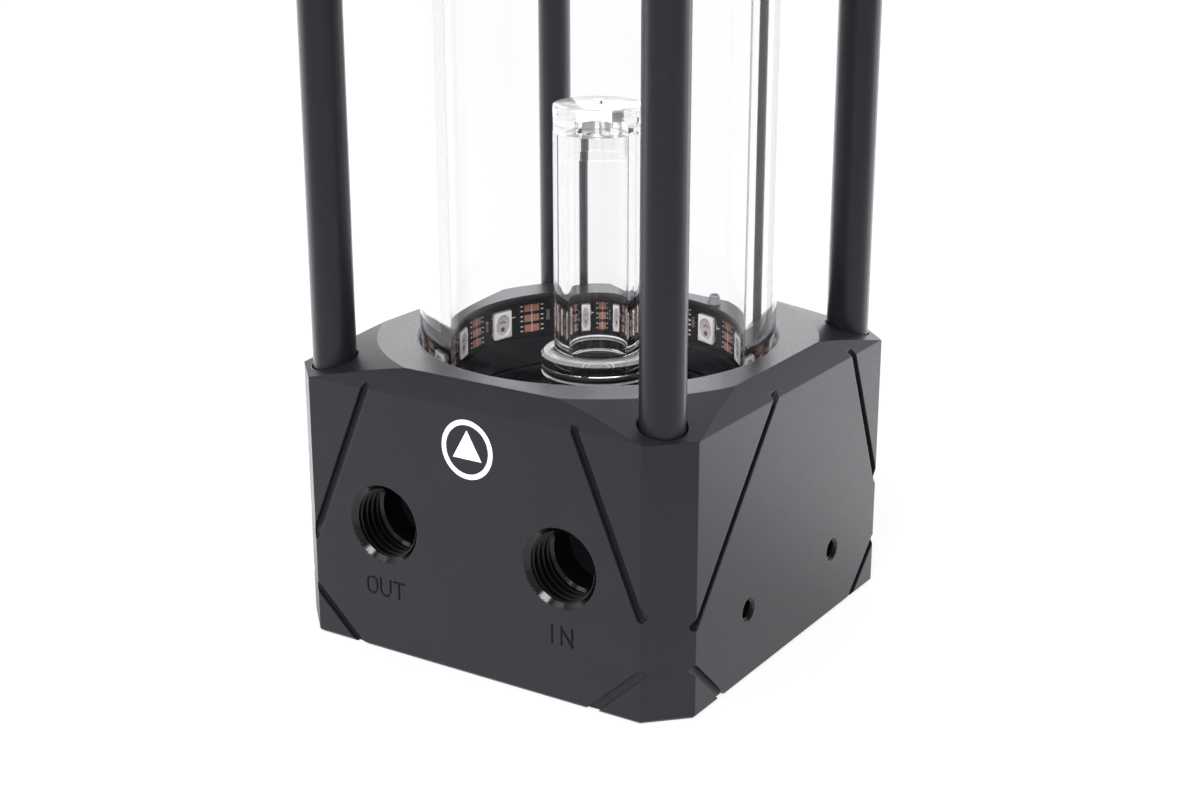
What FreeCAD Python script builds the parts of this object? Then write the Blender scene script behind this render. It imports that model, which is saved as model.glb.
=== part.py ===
import FreeCAD, Part
import math
import os
from FreeCAD import Vector

# Coolant pump with a tube reservoir on top, in millimetres.
# The origin is the bottom centre of the pump block. The ports face -Y, the bracket holes +X.
# Every piece of the real object is a solid of its own, and the pump inside the block is a
# wet-rotor pump: the coolant fills the rotor space, and a thin can keeps the windings dry.

# Pump block
block_width = 76.0
block_chamfer = 6.2
block_bevel_rise = 3.4
block_bevel_run = 3.6
plateau_margin = 0.7
bottom_edge_chamfer = 0.5

# Decorative grooves
groove_width = 1.5
groove_depth = 1.0
front_steep_groove_top = 20.1
front_steep_groove_foot = 17.7
side_steep_groove_top_near = 7.5
side_steep_groove_foot_near = 15.6
side_steep_groove_top_far = 20.8
side_steep_groove_foot_far = 19.7
short_groove_foot = 22.9
short_groove_rise = 8.3

# Threaded ports, all G 1/4
port_thread_radius = 6.58
port_depth = 12.0
port_mouth_chamfer = 0.2
port_offset = 17.15
port_level = 22.55

# Lettering and symbol on the front
letter_height = 3.3
letter_width = 2.0
letter_pitch = 2.75
letter_pen = 0.42
letter_depth = 0.35
letter_level = 11.4
symbol_drop = 6.6
symbol_radius = 4.9
symbol_line = 0.85
symbol_depth = 0.4

# Bracket holes on the +X side, M4
bracket_hole_radius = 2.0
bracket_hole_spacing = 30.0
bracket_hole_level = 12.0
bracket_hole_depth = 8.0

# Reservoir tube
tube_outer_radius = 30.0
tube_wall = 5.0
tube_length = 124.0
tube_clearance = 0.2
tube_mouth_chamfer = 0.4
tube_end_chamfer = 0.4

# Rooms and walls inside the block, stacked from the bottom up
base_plate_thickness = 2.5
base_plate_radius = 30.0
motor_room_margin = 7.4
motor_room_height = 9.1
motor_roof_thickness = 4.2
volute_height = 7.6
plenum_radius = 24.0
plenum_height = 7.6
flow_plate_thickness = 5.0
tube_seat_depth = 12.75

# Water passages
outlet_passage_radius = 3.2
outlet_passage_lift = 0.25
inlet_passage_radius = 3.0
inlet_passage_lift = 2.95
inlet_riser_back = 21.2

# Wet-rotor pump
shaft_radius = 2.0
shaft_top_drop = 1.1
shaft_end_length = 1.8
clip_width = 1.2
clip_thickness = 0.7
bush_running_gap = 0.04
bush_wall = 1.4
hub_wall = 1.2
magnet_radius = 9.2
magnet_height = 6.0
can_inner_radius = 9.8
can_wall = 0.8
can_flange_radius = 17.4
can_flange_thickness = 1.2
can_floor_lift = 1.5
can_boss_height = 1.6
can_boss_wall = 1.6
washer_thickness = 0.8
washer_width = 1.6
washer_gap = 0.02
rotor_end_gap = 0.1
impeller_radius = 16.0
impeller_disc_thickness = 1.2
impeller_face_gap = 0.6
blade_top_gap = 1.2
blade_thickness = 1.2
blade_count = 6
blade_curve_radius = 9.0
eye_radius = 6.5
eye_chamfer = 1.0
pole_count = 6
pole_width = 4.0
stator_lift = 3.1
stator_roof_gap = 1.4
stator_yoke_width = 3.6
stator_air_gap = 0.4
stator_room_gap = 0.1
pole_shoe_thickness = 1.2
coil_thickness = 1.3
coil_fit_gap = 0.1
coil_shoe_gap = 0.3
coil_yoke_gap = 0.9
board_thickness = 1.2
board_lift = 0.2
board_room_gap = 0.2
board_can_gap = 0.7
driver_chip_size = (4.4, 4.4, 0.8)
switch_size = (2.8, 2.4, 0.7)
capacitor_size = (2.0, 1.2, 0.6)

# Pump cover and flow plate
cover_thickness = 2.2
cover_clearance = 0.15
plate_clearance = 0.15
channel_width = 6.4
channel_wall = 1.6
channel_floor_drop = 2.6
suction_slot_count = 5
suction_slot_inner = 13.0
suction_slot_outer = 18.5
suction_slot_half_angle = 18.0

# Riser pipe in the middle of the reservoir
riser_outer_radius = 7.5
riser_bore_radius = 5.0
riser_collar_radius = 9.7
riser_socket_floor = 1.0
riser_collar_rise = 10.2
riser_seal_drop = 2.3
riser_seal_gap = 1.1
riser_height = 47.4
riser_window_height = 2.5
riser_window_width = 3.2
riser_window_count = 6
riser_lid_thickness = 2.7
riser_fit_gap = 0.1
riser_spigot_length = 4.0
riser_spigot_wall = 1.2
riser_edge_chamfer = 0.5
riser_lid_chamfer = 0.4
riser_nub_radius = 1.0
riser_nub_height = 0.4

# Light strip in its groove behind the tube
led_groove_cover = 1.1
led_groove_height = 7.4
led_groove_depth = 2.7
led_strip_gap = 0.2
led_strip_thickness = 0.3
led_count = 12
led_pitch_angle = 29.5
led_first_angle = -13.7
led_chip_width = 5.0
led_chip_height = 5.0
led_chip_thickness = 1.5
led_pad_width = 3.5
led_pad_height = 1.3
led_pad_pitch = 1.9
led_pad_thickness = 0.1

# Support rods and top cap
rod_radius = 3.6
rod_margin = 6.5
rod_hole_clearance = 0.3
rod_end_chamfer = 0.3
rod_seat_depth = 13.3
rod_depth_in_cap = 8.0
cap_height = 22.0
cap_tube_depth = 12.0
cap_port_offset = 13.0
cap_top_edge_chamfer = 1.0

# Fasteners
rod_screw_radius = 2.0
rod_screw_head_radius = 3.5
rod_screw_head_height = 4.0
rod_screw_key_width = 3.0
rod_screw_length = 25.0
cap_screw_length = 16.0
tap_runout = 0.5
screw_bite = 8.0
screw_clearance = 0.2
socket_depth_share = 0.5
base_screw_radius = 1.5
base_screw_head_radius = 2.9
base_screw_key_width = 2.0
base_screw_key_depth = 1.0
base_screw_length = 8.0
base_screw_count = 6
base_screw_margin = 3.6
small_screw_radius = 1.0
small_screw_head_radius = 1.8
small_screw_head_height = 1.0
small_screw_bite = 2.0
small_screw_gap = 0.1
small_screw_cross_reach = 1.1
small_screw_cross_width = 0.4
small_screw_cross_depth = 0.5
can_screw_count = 4
can_screw_outward = 0.35
can_screw_proud = 0.4
cover_screw_count = 3
cover_screw_start_angle = 20.0

# Plugs, seals and grommets
plug_flange_radius = 9.0
plug_flange_height = 3.0
plug_thread_length = 5.0
plug_thread_gap = 0.15
plug_hex_width = 6.0
plug_hex_depth = 4.0
plug_edge_chamfer = 0.6
plug_seal_gap = 0.1
plug_seal_width = 1.8
plug_seal_thickness = 1.0
seal_touch_gap = 0.02
can_seal_cord = 0.5
can_seal_margin = 1.9
plate_seal_cord = 0.8
plate_seal_lift = 1.8
tube_seal_cord = 0.8
lead_grommet_radius = 3.2
lead_grommet_flange = 4.6
lead_grommet_flange_height = 1.4
lead_grommet_sunk = 0.1
lead_hole_radius = 1.9
lead_lift = 4.7
led_grommet_radius = 2.1
led_grommet_height = 1.3
led_grommet_taper = 0.6
led_grommet_neck = 1.45
led_grommet_angle = 72.5
led_lead_radius = 0.9

# Sizes that follow from the ones above
half = block_width / 2
motor_room_radius = base_plate_radius - motor_room_margin
motor_room_top = base_plate_thickness + motor_room_height
volute_floor = motor_room_top + motor_roof_thickness
volute_roof = volute_floor + volute_height
plenum_top = volute_roof + plenum_height
flow_plate_top = plenum_top + flow_plate_thickness
block_height = flow_plate_top + tube_seat_depth
block_side_height = block_height - block_bevel_rise
plateau_radius = half - plateau_margin
plateau_bevel_reach = half - block_bevel_run
symbol_level = block_side_height - symbol_drop
tube_inner_radius = tube_outer_radius - tube_wall
tube_seat_radius = tube_outer_radius + tube_clearance
tube_top = flow_plate_top + tube_length
cap_bottom = tube_top - cap_tube_depth
cap_top = cap_bottom + cap_height
corner_reach = (half - block_chamfer / 2) * math.sqrt(2)
volute_radius = port_offset + outlet_passage_radius
outlet_passage_level = volute_floor + outlet_passage_radius + outlet_passage_lift
inlet_passage_level = port_level + inlet_passage_lift
riser_foot = plenum_top + riser_socket_floor
riser_collar_seat = riser_collar_radius + plate_clearance
riser_collar_top = flow_plate_top + riser_collar_rise
riser_seal_top = riser_collar_top - riser_seal_drop
riser_pipe_top = flow_plate_top + riser_height
can_floor = base_plate_thickness + can_floor_lift
can_outer_radius = can_inner_radius + can_wall
led_groove_top = block_height - led_groove_cover
led_groove_bottom = led_groove_top - led_groove_height
led_wall_radius = tube_seat_radius + led_groove_depth
led_strip_outer = led_wall_radius - tube_clearance
led_strip_inner = led_strip_outer - led_strip_thickness
led_strip_bottom = led_groove_bottom + led_strip_gap
led_strip_top = led_groove_top - led_strip_gap
led_level = (led_strip_bottom + led_strip_top) / 2
rod_offset = half - rod_margin
rod_seat_level = block_height - rod_seat_depth
rod_hole_radius = rod_radius + rod_hole_clearance
rod_top = cap_bottom + rod_depth_in_cap
bush_inner_radius = shaft_radius + bush_running_gap
bush_outer_radius = bush_inner_radius + bush_wall
hub_radius = bush_outer_radius + hub_wall
rotor_bottom = can_floor + can_boss_height + washer_thickness + rotor_end_gap
impeller_disc_bottom = volute_floor + impeller_face_gap
impeller_disc_top = impeller_disc_bottom + impeller_disc_thickness
blade_top = volute_roof - blade_top_gap
shaft_top = volute_roof - shaft_top_drop
bush_top = shaft_top - shaft_end_length
stator_bottom = base_plate_thickness + stator_lift
stator_top = motor_room_top - stator_roof_gap
stator_outer_radius = motor_room_radius - stator_room_gap
stator_inner_radius = can_outer_radius + stator_air_gap
board_top = base_plate_thickness + board_lift + board_thickness
lead_level = base_plate_thickness + lead_lift
base_screw_circle = base_plate_radius - base_screw_margin
can_seat_level = volute_floor - can_flange_thickness
can_seal_radius = can_outer_radius + can_seal_margin
can_seal_level = can_seat_level - can_seal_cord
can_screw_circle = (can_seal_radius + can_flange_radius) / 2 + can_screw_outward
can_screw_start_angle = 180.0 / can_screw_count
cover_screw_circle = (volute_radius + plenum_radius) / 2
plate_seal_radius = tube_seat_radius - plate_seal_cord - seal_touch_gap
plate_seal_level = plenum_top + plate_seal_lift
tube_seal_radius = tube_outer_radius - tube_wall / 2
riser_low_seal_level = (riser_foot + flow_plate_top) / 2
riser_seal_radius = riser_collar_radius - riser_seal_gap / 2
riser_seal_cord = riser_seal_gap / 2 - seal_touch_gap
lower_screw_seat = rod_seat_level + screw_bite - rod_screw_length
upper_screw_seat = rod_top - screw_bite + cap_screw_length
led_lead_reach = led_wall_radius + led_grommet_neck * 0.3


def cylinder(radius, bottom, top, x=0.0, y=0.0):
    """An upright cylinder between two levels."""
    return Part.makeCylinder(radius, top - bottom, Vector(x, y, bottom))


def ring(inner, outer, bottom, top, x=0.0, y=0.0):
    """An upright tube between two levels."""
    return cylinder(outer, bottom, top, x, y).cut(cylinder(inner, bottom - 1, top + 1, x, y))


def cone(bottom_radius, top_radius, bottom, top, x=0.0, y=0.0):
    """An upright cone between two levels."""
    return Part.makeCone(bottom_radius, top_radius, top - bottom, Vector(x, y, bottom))


def box(x_low, x_high, y_low, y_high, bottom, top):
    """A box between three pairs of planes."""
    return Part.makeBox(x_high - x_low, y_high - y_low, top - bottom, Vector(x_low, y_low, bottom))


def drilled(radius, depth, start, direction):
    """The solid that a drill removes, from a point along a direction."""
    return Part.makeCylinder(radius, depth, start, direction)


def countersink(radius, size, start, direction):
    """The chamfer at the mouth of a drilled hole."""
    return Part.makeCone(radius + size, radius, size, start, direction)


def o_ring(radius, cord_radius, level):
    """A round-section sealing ring about the vertical axis."""
    return Part.makeTorus(radius, cord_radius, Vector(0, 0, level), Vector(0, 0, 1))


def turned(points, angle=360.0):
    """A solid turned about Z from a closed outline of (radius, level) points."""
    outline = [Vector(radius, 0, level) for radius, level in points]
    face = Part.Face(Part.makePolygon(outline + [outline[0]]))
    return face.revolve(Vector(0, 0, 0), Vector(0, 0, 1), angle)


def turn_copy(shape, angle):
    """A copy turned about the vertical axis, in degrees."""
    copy = shape.copy()
    copy.rotate(Vector(0, 0, 0), Vector(0, 0, 1), angle)
    return copy


def around(shape, count, start=0.0):
    """Evenly spaced copies about the vertical axis."""
    return [turn_copy(shape, start + 360.0 * index / count) for index in range(count)]


def at_corners(make):
    """One shape for each of the four support rods."""
    return [make(x * rod_offset, y * rod_offset) for y in (-1, 1) for x in (-1, 1)]


def arc_slot(inner, outer, bottom, top, middle_angle, half_angle):
    """A curved slot with square ends, about the vertical axis."""
    profile = [(inner, bottom), (outer, bottom), (outer, top), (inner, top)]
    return turn_copy(turned(profile, 2 * half_angle), middle_angle - half_angle)


def hexagon(width_across_flats, bottom, top, x=0.0, y=0.0):
    """A six-sided key hole or key."""
    radius = width_across_flats / math.sqrt(3)
    corners = []
    for index in range(7):
        angle = math.radians(60 * index)
        corners.append(Vector(x + radius * math.cos(angle), y + radius * math.sin(angle), bottom))
    return Part.Face(Part.makePolygon(corners)).extrude(Vector(0, 0, top - bottom))


def save(name, *solids):
    """Writes one named piece, or one group of like pieces."""
    shape = solids[0] if len(solids) == 1 else Part.makeCompound(list(solids))
    shape.exportStep("parts/" + name + ".step")
    print(name, len(shape.Solids), "solids,", round(shape.Volume, 1), "mm3", shape.isValid())


def chamfered_prism(bottom, top, edge_chamfer):
    """The square plan with cut corners that the block and the cap share."""
    near = half - block_chamfer
    plan = [(-near, -half), (near, -half), (half, -near), (half, near),
            (near, half), (-near, half), (-half, near), (-half, -near)]
    points = [Vector(x, y, bottom) for x, y in plan]
    prism = Part.Face(Part.makePolygon(points + [points[0]])).extrude(Vector(0, 0, top - bottom))
    bottom_edges = [edge for edge in prism.Edges
                    if all(abs(vertex.Point.z - bottom) < 0.001 for vertex in edge.Vertexes)]
    return prism.makeChamfer(edge_chamfer, bottom_edges)


def bevelled_body(height, side_height, edge_chamfer):
    """A prism whose top falls away in four side bevels and four conical corners."""
    body = chamfered_prism(0.0, height, edge_chamfer)
    rise = height - side_height
    run = half - plateau_bevel_reach
    wedge_points = [Vector(-block_width, -half, side_height),
                    Vector(-block_width, -half + 1.5 * run, side_height + 1.5 * rise),
                    Vector(-block_width, -half - 1, side_height + 1.5 * rise),
                    Vector(-block_width, -half - 1, side_height)]
    wedge = Part.Face(Part.makePolygon(wedge_points + [wedge_points[0]]))
    wedge = wedge.extrude(Vector(2 * block_width, 0, 0))
    for cutter in around(wedge, 4):
        body = body.cut(cutter)
    slope = rise / (corner_reach - plateau_radius)
    far = block_width
    corner_cone = turned([(0, -1), (far, -1), (far, height - slope * (far - plateau_radius)),
                          (plateau_radius, height), (0, height)])
    return body.common(corner_cone)


def face_groove(x_start, z_start, x_end, z_end):
    """A groove across the front face. It starts beyond the face and has the cutter's round end."""
    length = math.hypot(x_end - x_start, z_end - z_start)
    groove = box(-block_chamfer, length, -half - 1, -half + groove_depth,
                 -groove_width / 2, groove_width / 2)
    round_end = drilled(groove_width / 2, groove_depth + 1, Vector(length, -half - 1, 0), Vector(0, 1, 0))
    groove = groove.fuse(round_end)
    slant = math.degrees(math.atan2(z_end - z_start, x_end - x_start))
    groove.rotate(Vector(0, 0, 0), Vector(0, 1, 0), -slant)
    groove.translate(Vector(x_start, 0, z_start))
    return groove


def groove_set(left_top, left_foot, right_top, right_foot):
    """The four grooves of one face: two steep ones above, two short ones at the lower corners."""
    edge = half - block_chamfer
    return [face_groove(-left_top, block_side_height, -edge, left_foot),
            face_groove(right_top, block_side_height, edge, right_foot),
            face_groove(-short_groove_foot, 0, -edge, short_groove_rise),
            face_groove(short_groove_foot, 0, edge, short_groove_rise)]


def pen_line(x_start, z_start, x_end, z_end):
    """One straight engraved stroke in the front face."""
    length = math.hypot(x_end - x_start, z_end - z_start)
    stroke = box(-letter_pen / 2, length + letter_pen / 2, -half - 1, -half + letter_depth,
                 -letter_pen / 2, letter_pen / 2)
    slant = math.degrees(math.atan2(z_end - z_start, x_end - x_start))
    stroke.rotate(Vector(0, 0, 0), Vector(0, 1, 0), -slant)
    stroke.translate(Vector(x_start, 0, z_start))
    return stroke


def pen_half_ring(x, z, upper):
    """A half circle stroke, as at the top and bottom of a round letter."""
    radius = letter_width / 2
    start = Vector(x, -half - 1, z)
    depth = letter_depth + 1
    outer = drilled(radius + letter_pen / 2, depth, start, Vector(0, 1, 0))
    inner = drilled(radius - letter_pen / 2, depth, start, Vector(0, 1, 0))
    reach = letter_width
    keep_low = z if upper else z - reach
    keep = box(x - reach, x + reach, -half - 2, -half + 2, keep_low, keep_low + reach)
    return outer.cut(inner).common(keep)


def engraved_letter(letter, x):
    """The strokes of one capital letter, centred on x."""
    low = letter_level - letter_height / 2 + letter_pen / 2
    high = letter_level + letter_height / 2 - letter_pen / 2
    radius = letter_width / 2
    left = x - radius
    right = x + radius
    if letter == "O":
        return [pen_half_ring(x, high - radius, True), pen_half_ring(x, low + radius, False),
                pen_line(left, low + radius, left, high - radius),
                pen_line(right, low + radius, right, high - radius)]
    if letter == "U":
        return [pen_half_ring(x, low + radius, False), pen_line(left, low + radius, left, high),
                pen_line(right, low + radius, right, high)]
    if letter == "T":
        return [pen_line(left, high, right, high), pen_line(x, low, x, high)]
    if letter == "I":
        return [pen_line(x, low, x, high)]
    return [pen_line(left, low, left, high), pen_line(right, low, right, high),
            pen_line(left, high, right, low)]


def engraved_word(word, x):
    """A short function word, centred under its port."""
    strokes = []
    for index, letter in enumerate(word):
        strokes += engraved_letter(letter, x + (index - (len(word) - 1) / 2) * letter_pitch)
    return strokes


def symbol_pieces(depth):
    """A plain pump symbol: a ring with a triangle in it, sunk into the front face."""
    start = Vector(0, -half, symbol_level)
    inward = Vector(0, 1, 0)
    outer = drilled(symbol_radius, depth, start, inward)
    inner = drilled(symbol_radius - symbol_line, depth + 1, start - inward * 0.5, inward)
    triangle_radius = symbol_radius - 2 * symbol_line
    corners = []
    for index in range(4):
        angle = math.radians(90 + 120 * index)
        corners.append(Vector(triangle_radius * math.cos(angle), -half,
                              symbol_level + triangle_radius * math.sin(angle)))
    triangle = Part.Face(Part.makePolygon(corners)).extrude(inward * depth)
    return [outer.cut(inner), triangle]


def port_cut(x, y, z, inward):
    """A threaded port: its bore at the thread's outer radius and the mouth's small chamfer."""
    start = Vector(x, y, z)
    return drilled(port_thread_radius, port_depth, start, inward).fuse(
        countersink(port_thread_radius, port_mouth_chamfer, start, inward))


def rod_screw(head_bottom, shank_end, x, y):
    """A socket-head screw that holds a rod; the shank ends inside the rod."""
    upward = shank_end > head_bottom
    if upward:
        head = cylinder(rod_screw_head_radius, head_bottom, head_bottom + rod_screw_head_height, x, y)
        shank = cylinder(rod_screw_radius, head_bottom + rod_screw_head_height, shank_end, x, y)
        key = hexagon(rod_screw_key_width, head_bottom,
                      head_bottom + rod_screw_head_height * socket_depth_share, x, y)
    else:
        head = cylinder(rod_screw_head_radius, head_bottom - rod_screw_head_height, head_bottom, x, y)
        shank = cylinder(rod_screw_radius, shank_end, head_bottom - rod_screw_head_height, x, y)
        key = hexagon(rod_screw_key_width,
                      head_bottom - rod_screw_head_height * socket_depth_share, head_bottom, x, y)
    return head.fuse(shank).cut(key)


def pump_block():
    """The black machined block: reservoir seat on top, pump rooms in the middle, dry motor room below."""
    block = bevelled_body(block_height, block_side_height, bottom_edge_chamfer)
    front = groove_set(front_steep_groove_top, front_steep_groove_foot,
                       front_steep_groove_top, front_steep_groove_foot)
    side = groove_set(side_steep_groove_top_near, side_steep_groove_foot_near,
                      side_steep_groove_top_far, side_steep_groove_foot_far)
    cuts = []
    for face_angle, grooves in ((0, front), (90, side), (180, front), (270, side)):
        cuts += [turn_copy(groove, face_angle) for groove in grooves]
    cuts += engraved_word("OUT", -port_offset) + engraved_word("IN", port_offset)
    cuts += symbol_pieces(symbol_depth)
    cuts += reservoir_seat_cuts() + pump_room_cuts() + passage_cuts() + fastener_cuts()
    return block.cut(cuts)


def reservoir_seat_cuts():
    """Everything bored from above: tube seat, light groove, plenum and the lead hole of the lights."""
    angle = math.radians(led_grommet_angle)
    return [cylinder(tube_seat_radius, plenum_top, block_height + 1),
            cone(tube_seat_radius, tube_seat_radius + tube_mouth_chamfer,
                 block_height - tube_mouth_chamfer, block_height),
            cylinder(led_wall_radius, led_groove_bottom, led_groove_top),
            cylinder(plenum_radius, volute_roof, plenum_top + 1),
            cylinder(led_grommet_neck, led_groove_top - 0.5, block_height + 1,
                     led_lead_reach * math.cos(angle), led_lead_reach * math.sin(angle))]


def pump_room_cuts():
    """The volute, the hole for the can, the dry room for the windings and the base plate's recess."""
    return [cylinder(volute_radius, volute_floor, volute_roof + 1),
            cylinder(can_flange_radius + screw_clearance, can_seat_level, volute_floor + 1),
            cylinder(can_outer_radius + screw_clearance, motor_room_top - 1, volute_floor),
            ring(can_seal_radius - can_seal_cord, can_seal_radius + can_seal_cord,
                 can_seal_level - can_seal_cord, can_seat_level + 0.5),
            cylinder(motor_room_radius, base_plate_thickness - 1, motor_room_top),
            cylinder(base_plate_radius + screw_clearance, -1, base_plate_thickness)]


def passage_cuts():
    """The two ports, the tangent outlet, and the inlet that climbs to the flow plate."""
    inward = Vector(0, 1, 0)
    port_end = -half + port_depth
    cuts = [port_cut(-port_offset, -half, port_level, inward),
            port_cut(port_offset, -half, port_level, inward)]
    cuts.append(drilled(outlet_passage_radius, -port_end + 0.5,
                        Vector(-port_offset, port_end - 0.5, outlet_passage_level), inward))
    cuts.append(drilled(inlet_passage_radius, -inlet_riser_back - port_end + 0.5,
                        Vector(port_offset, port_end - 0.5, inlet_passage_level), inward))
    cuts.append(cylinder(inlet_passage_radius, inlet_passage_level - inlet_passage_radius,
                         plenum_top + 0.5, port_offset, -inlet_riser_back))
    return cuts


def fastener_cuts():
    """Rod seats, screw holes, the bracket holes and the way out of the pump's lead."""
    cuts = at_corners(lambda x, y: cylinder(rod_hole_radius, rod_seat_level, block_height + 1, x, y))
    head_hole = rod_screw_head_radius + screw_clearance
    cuts += at_corners(lambda x, y: cylinder(head_hole, -1, lower_screw_seat, x, y))
    cuts += at_corners(lambda x, y: cylinder(rod_screw_radius + screw_clearance, lower_screw_seat - 1,
                                             rod_seat_level + 1, x, y))
    for y in (-bracket_hole_spacing / 2, bracket_hole_spacing / 2):
        cuts.append(drilled(bracket_hole_radius, bracket_hole_depth,
                            Vector(half, y, bracket_hole_level), Vector(-1, 0, 0)))
    base_hole = cylinder(base_screw_radius, base_plate_thickness - 1, base_screw_length + tap_runout,
                         base_screw_circle, 0)
    cuts += around(base_hole, base_screw_count)
    can_hole = cylinder(small_screw_radius, can_seat_level - small_screw_bite + screw_clearance,
                        volute_floor, can_screw_circle, 0)
    cuts += around(can_hole, can_screw_count, can_screw_start_angle)
    cover_hole = cylinder(small_screw_radius, volute_roof - small_screw_bite, volute_roof + 1,
                          cover_screw_circle, 0)
    cuts += around(cover_hole, cover_screw_count, cover_screw_start_angle)
    cuts.append(drilled(lead_grommet_radius, half - motor_room_radius + 2,
                        Vector(0, half, lead_level), Vector(0, -1, 0)))
    cuts.append(drilled(lead_grommet_flange + screw_clearance, lead_grommet_flange_height,
                        Vector(0, half, lead_level), Vector(0, -1, 0)))
    return cuts


def small_screw(head_top, length, radius_out):
    """A small flat-headed screw with a cross slot."""
    head = cylinder(small_screw_head_radius, head_top - small_screw_head_height, head_top, radius_out, 0)
    shank = cylinder(small_screw_radius, head_top - small_screw_head_height - length, head_top, radius_out, 0)
    reach = small_screw_cross_reach
    side = small_screw_cross_width / 2
    floor = head_top - small_screw_cross_depth
    slot = box(radius_out - reach, radius_out + reach, -side, side, floor, head_top + 1)
    cross = box(radius_out - side, radius_out + side, -reach, reach, floor, head_top + 1)
    return head.fuse(shank).cut([slot, cross])


def base_plate():
    """The aluminium plate that closes the dry motor room from below."""
    plate = cylinder(base_plate_radius, 0, base_plate_thickness)
    hole = cylinder(base_screw_radius + screw_clearance, -1, base_plate_thickness + 1, base_screw_circle, 0)
    sink_radius = base_screw_head_radius + screw_clearance
    sink = cone(sink_radius, base_screw_radius + screw_clearance, 0,
                base_screw_head_radius - base_screw_radius, base_screw_circle, 0)
    return plate.cut(around(hole.fuse(sink), base_screw_count))


def base_plate_screws():
    """Countersunk screws of the base plate, with key holes."""
    sunk = screw_clearance / 2
    head = cone(base_screw_head_radius, base_screw_radius, sunk,
                sunk + base_screw_head_radius - base_screw_radius, base_screw_circle, 0)
    shank = cylinder(base_screw_radius, sunk, base_screw_length, base_screw_circle, 0)
    key = hexagon(base_screw_key_width, 0, base_screw_key_depth, base_screw_circle, 0)
    return around(head.fuse(shank).cut(key), base_screw_count)


def separation_can():
    """The thin cup between the wet rotor and the dry windings, with the shaft's seat in its floor."""
    bottom = can_floor - can_wall
    boss_radius = shaft_radius + can_boss_wall
    can = turned([(0, bottom), (can_outer_radius, bottom), (can_outer_radius, can_seat_level),
                  (can_flange_radius, can_seat_level), (can_flange_radius, volute_floor),
                  (can_inner_radius, volute_floor), (can_inner_radius, can_floor),
                  (boss_radius, can_floor), (boss_radius, can_floor + can_boss_height),
                  (shaft_radius, can_floor + can_boss_height), (shaft_radius, can_floor), (0, can_floor)])
    sink = cylinder(small_screw_head_radius + small_screw_gap, can_floor,
                    volute_floor + 1, can_screw_circle, 0)
    return can.cut(around(sink, can_screw_count, can_screw_start_angle))


def can_screws():
    """The four screws that hold the can's flange down in the volute's floor."""
    screw = small_screw(volute_floor + can_screw_proud, small_screw_bite - screw_clearance, can_screw_circle)
    return around(screw, can_screw_count, can_screw_start_angle)


def rotor_shaft():
    """The fixed ceramic shaft."""
    return cylinder(shaft_radius, can_floor, shaft_top)


def shaft_clip():
    """The ring on the shaft's end that keeps the rotor from lifting off."""
    bottom = bush_top + rotor_end_gap
    return ring(shaft_radius, shaft_radius + clip_width, bottom, bottom + clip_thickness)


def thrust_washer():
    """The ceramic washer that the rotor runs on."""
    bottom = can_floor + can_boss_height
    return ring(shaft_radius + washer_gap, shaft_radius + washer_width, bottom, bottom + washer_thickness)


def rotor_bush():
    """The carbon bush that turns on the shaft."""
    return ring(bush_inner_radius, bush_outer_radius, rotor_bottom, bush_top)


def rotor_magnet():
    """The ring magnet that the windings drive."""
    return ring(hub_radius, magnet_radius, rotor_bottom + 0.1, rotor_bottom + 0.1 + magnet_height)


def impeller():
    """The open impeller: a hub on the bush, a disc and backward-curved blades."""
    hub = ring(bush_outer_radius, hub_radius, rotor_bottom, bush_top)
    disc = ring(hub_radius - 0.3, impeller_radius, impeller_disc_bottom, impeller_disc_top)
    curve = ring(blade_curve_radius - blade_thickness / 2, blade_curve_radius + blade_thickness / 2,
                 impeller_disc_top - 0.2, blade_top, blade_curve_radius - 0.6, 0)
    annulus = ring(eye_radius + 0.3, impeller_radius - 0.2, impeller_disc_top - 0.2, blade_top)
    one_side = box(-impeller_radius, impeller_radius, 0, impeller_radius, 0, blade_top + 1)
    blade = curve.common(annulus).common(one_side)
    return hub.fuse([disc] + around(blade, blade_count)).removeSplitter()


def stator_core():
    """The laminated iron core: a yoke and its poles."""
    outer = stator_outer_radius
    inner = stator_inner_radius
    yoke = ring(outer - stator_yoke_width, outer, stator_bottom, stator_top)
    pole = box(inner + pole_shoe_thickness / 4, outer - stator_yoke_width / 2,
               -pole_width / 2, pole_width / 2, stator_bottom, stator_top)
    shoe = arc_slot(inner, inner + pole_shoe_thickness, stator_bottom, stator_top, 0, 150 / pole_count)
    return yoke.fuse(around(pole, pole_count) + around(shoe, pole_count)).removeSplitter()


def stator_coils():
    """One copper winding round each pole."""
    inner = stator_inner_radius + pole_shoe_thickness + coil_shoe_gap
    outer = stator_outer_radius - stator_yoke_width - coil_yoke_gap
    side = pole_width / 2 + coil_fit_gap
    low = stator_bottom - coil_fit_gap
    high = stator_top + coil_fit_gap
    winding = box(inner, outer, -side - coil_thickness, side + coil_thickness,
                  low - coil_thickness / 2, high + coil_thickness / 2)
    coil = winding.cut(box(inner - 1, outer + 1, -side, side, low, high))
    return around(coil, pole_count)


def control_board():
    """The round circuit board under the windings."""
    return ring(can_outer_radius + board_can_gap, motor_room_radius - board_room_gap,
                board_top - board_thickness, board_top)


def board_components():
    """The driver chip, switches and capacitors on the board."""
    middle = (can_outer_radius + motor_room_radius) / 2

    def component(size):
        length, width, height = size
        return box(middle - length / 2, middle + length / 2, -width / 2, width / 2,
                   board_top, board_top + height)

    switches = around(component(switch_size), pole_count)[1:]
    capacitors = around(component(capacitor_size), pole_count, 180.0 / pole_count)
    return [component(driver_chip_size)] + switches + capacitors


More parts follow.
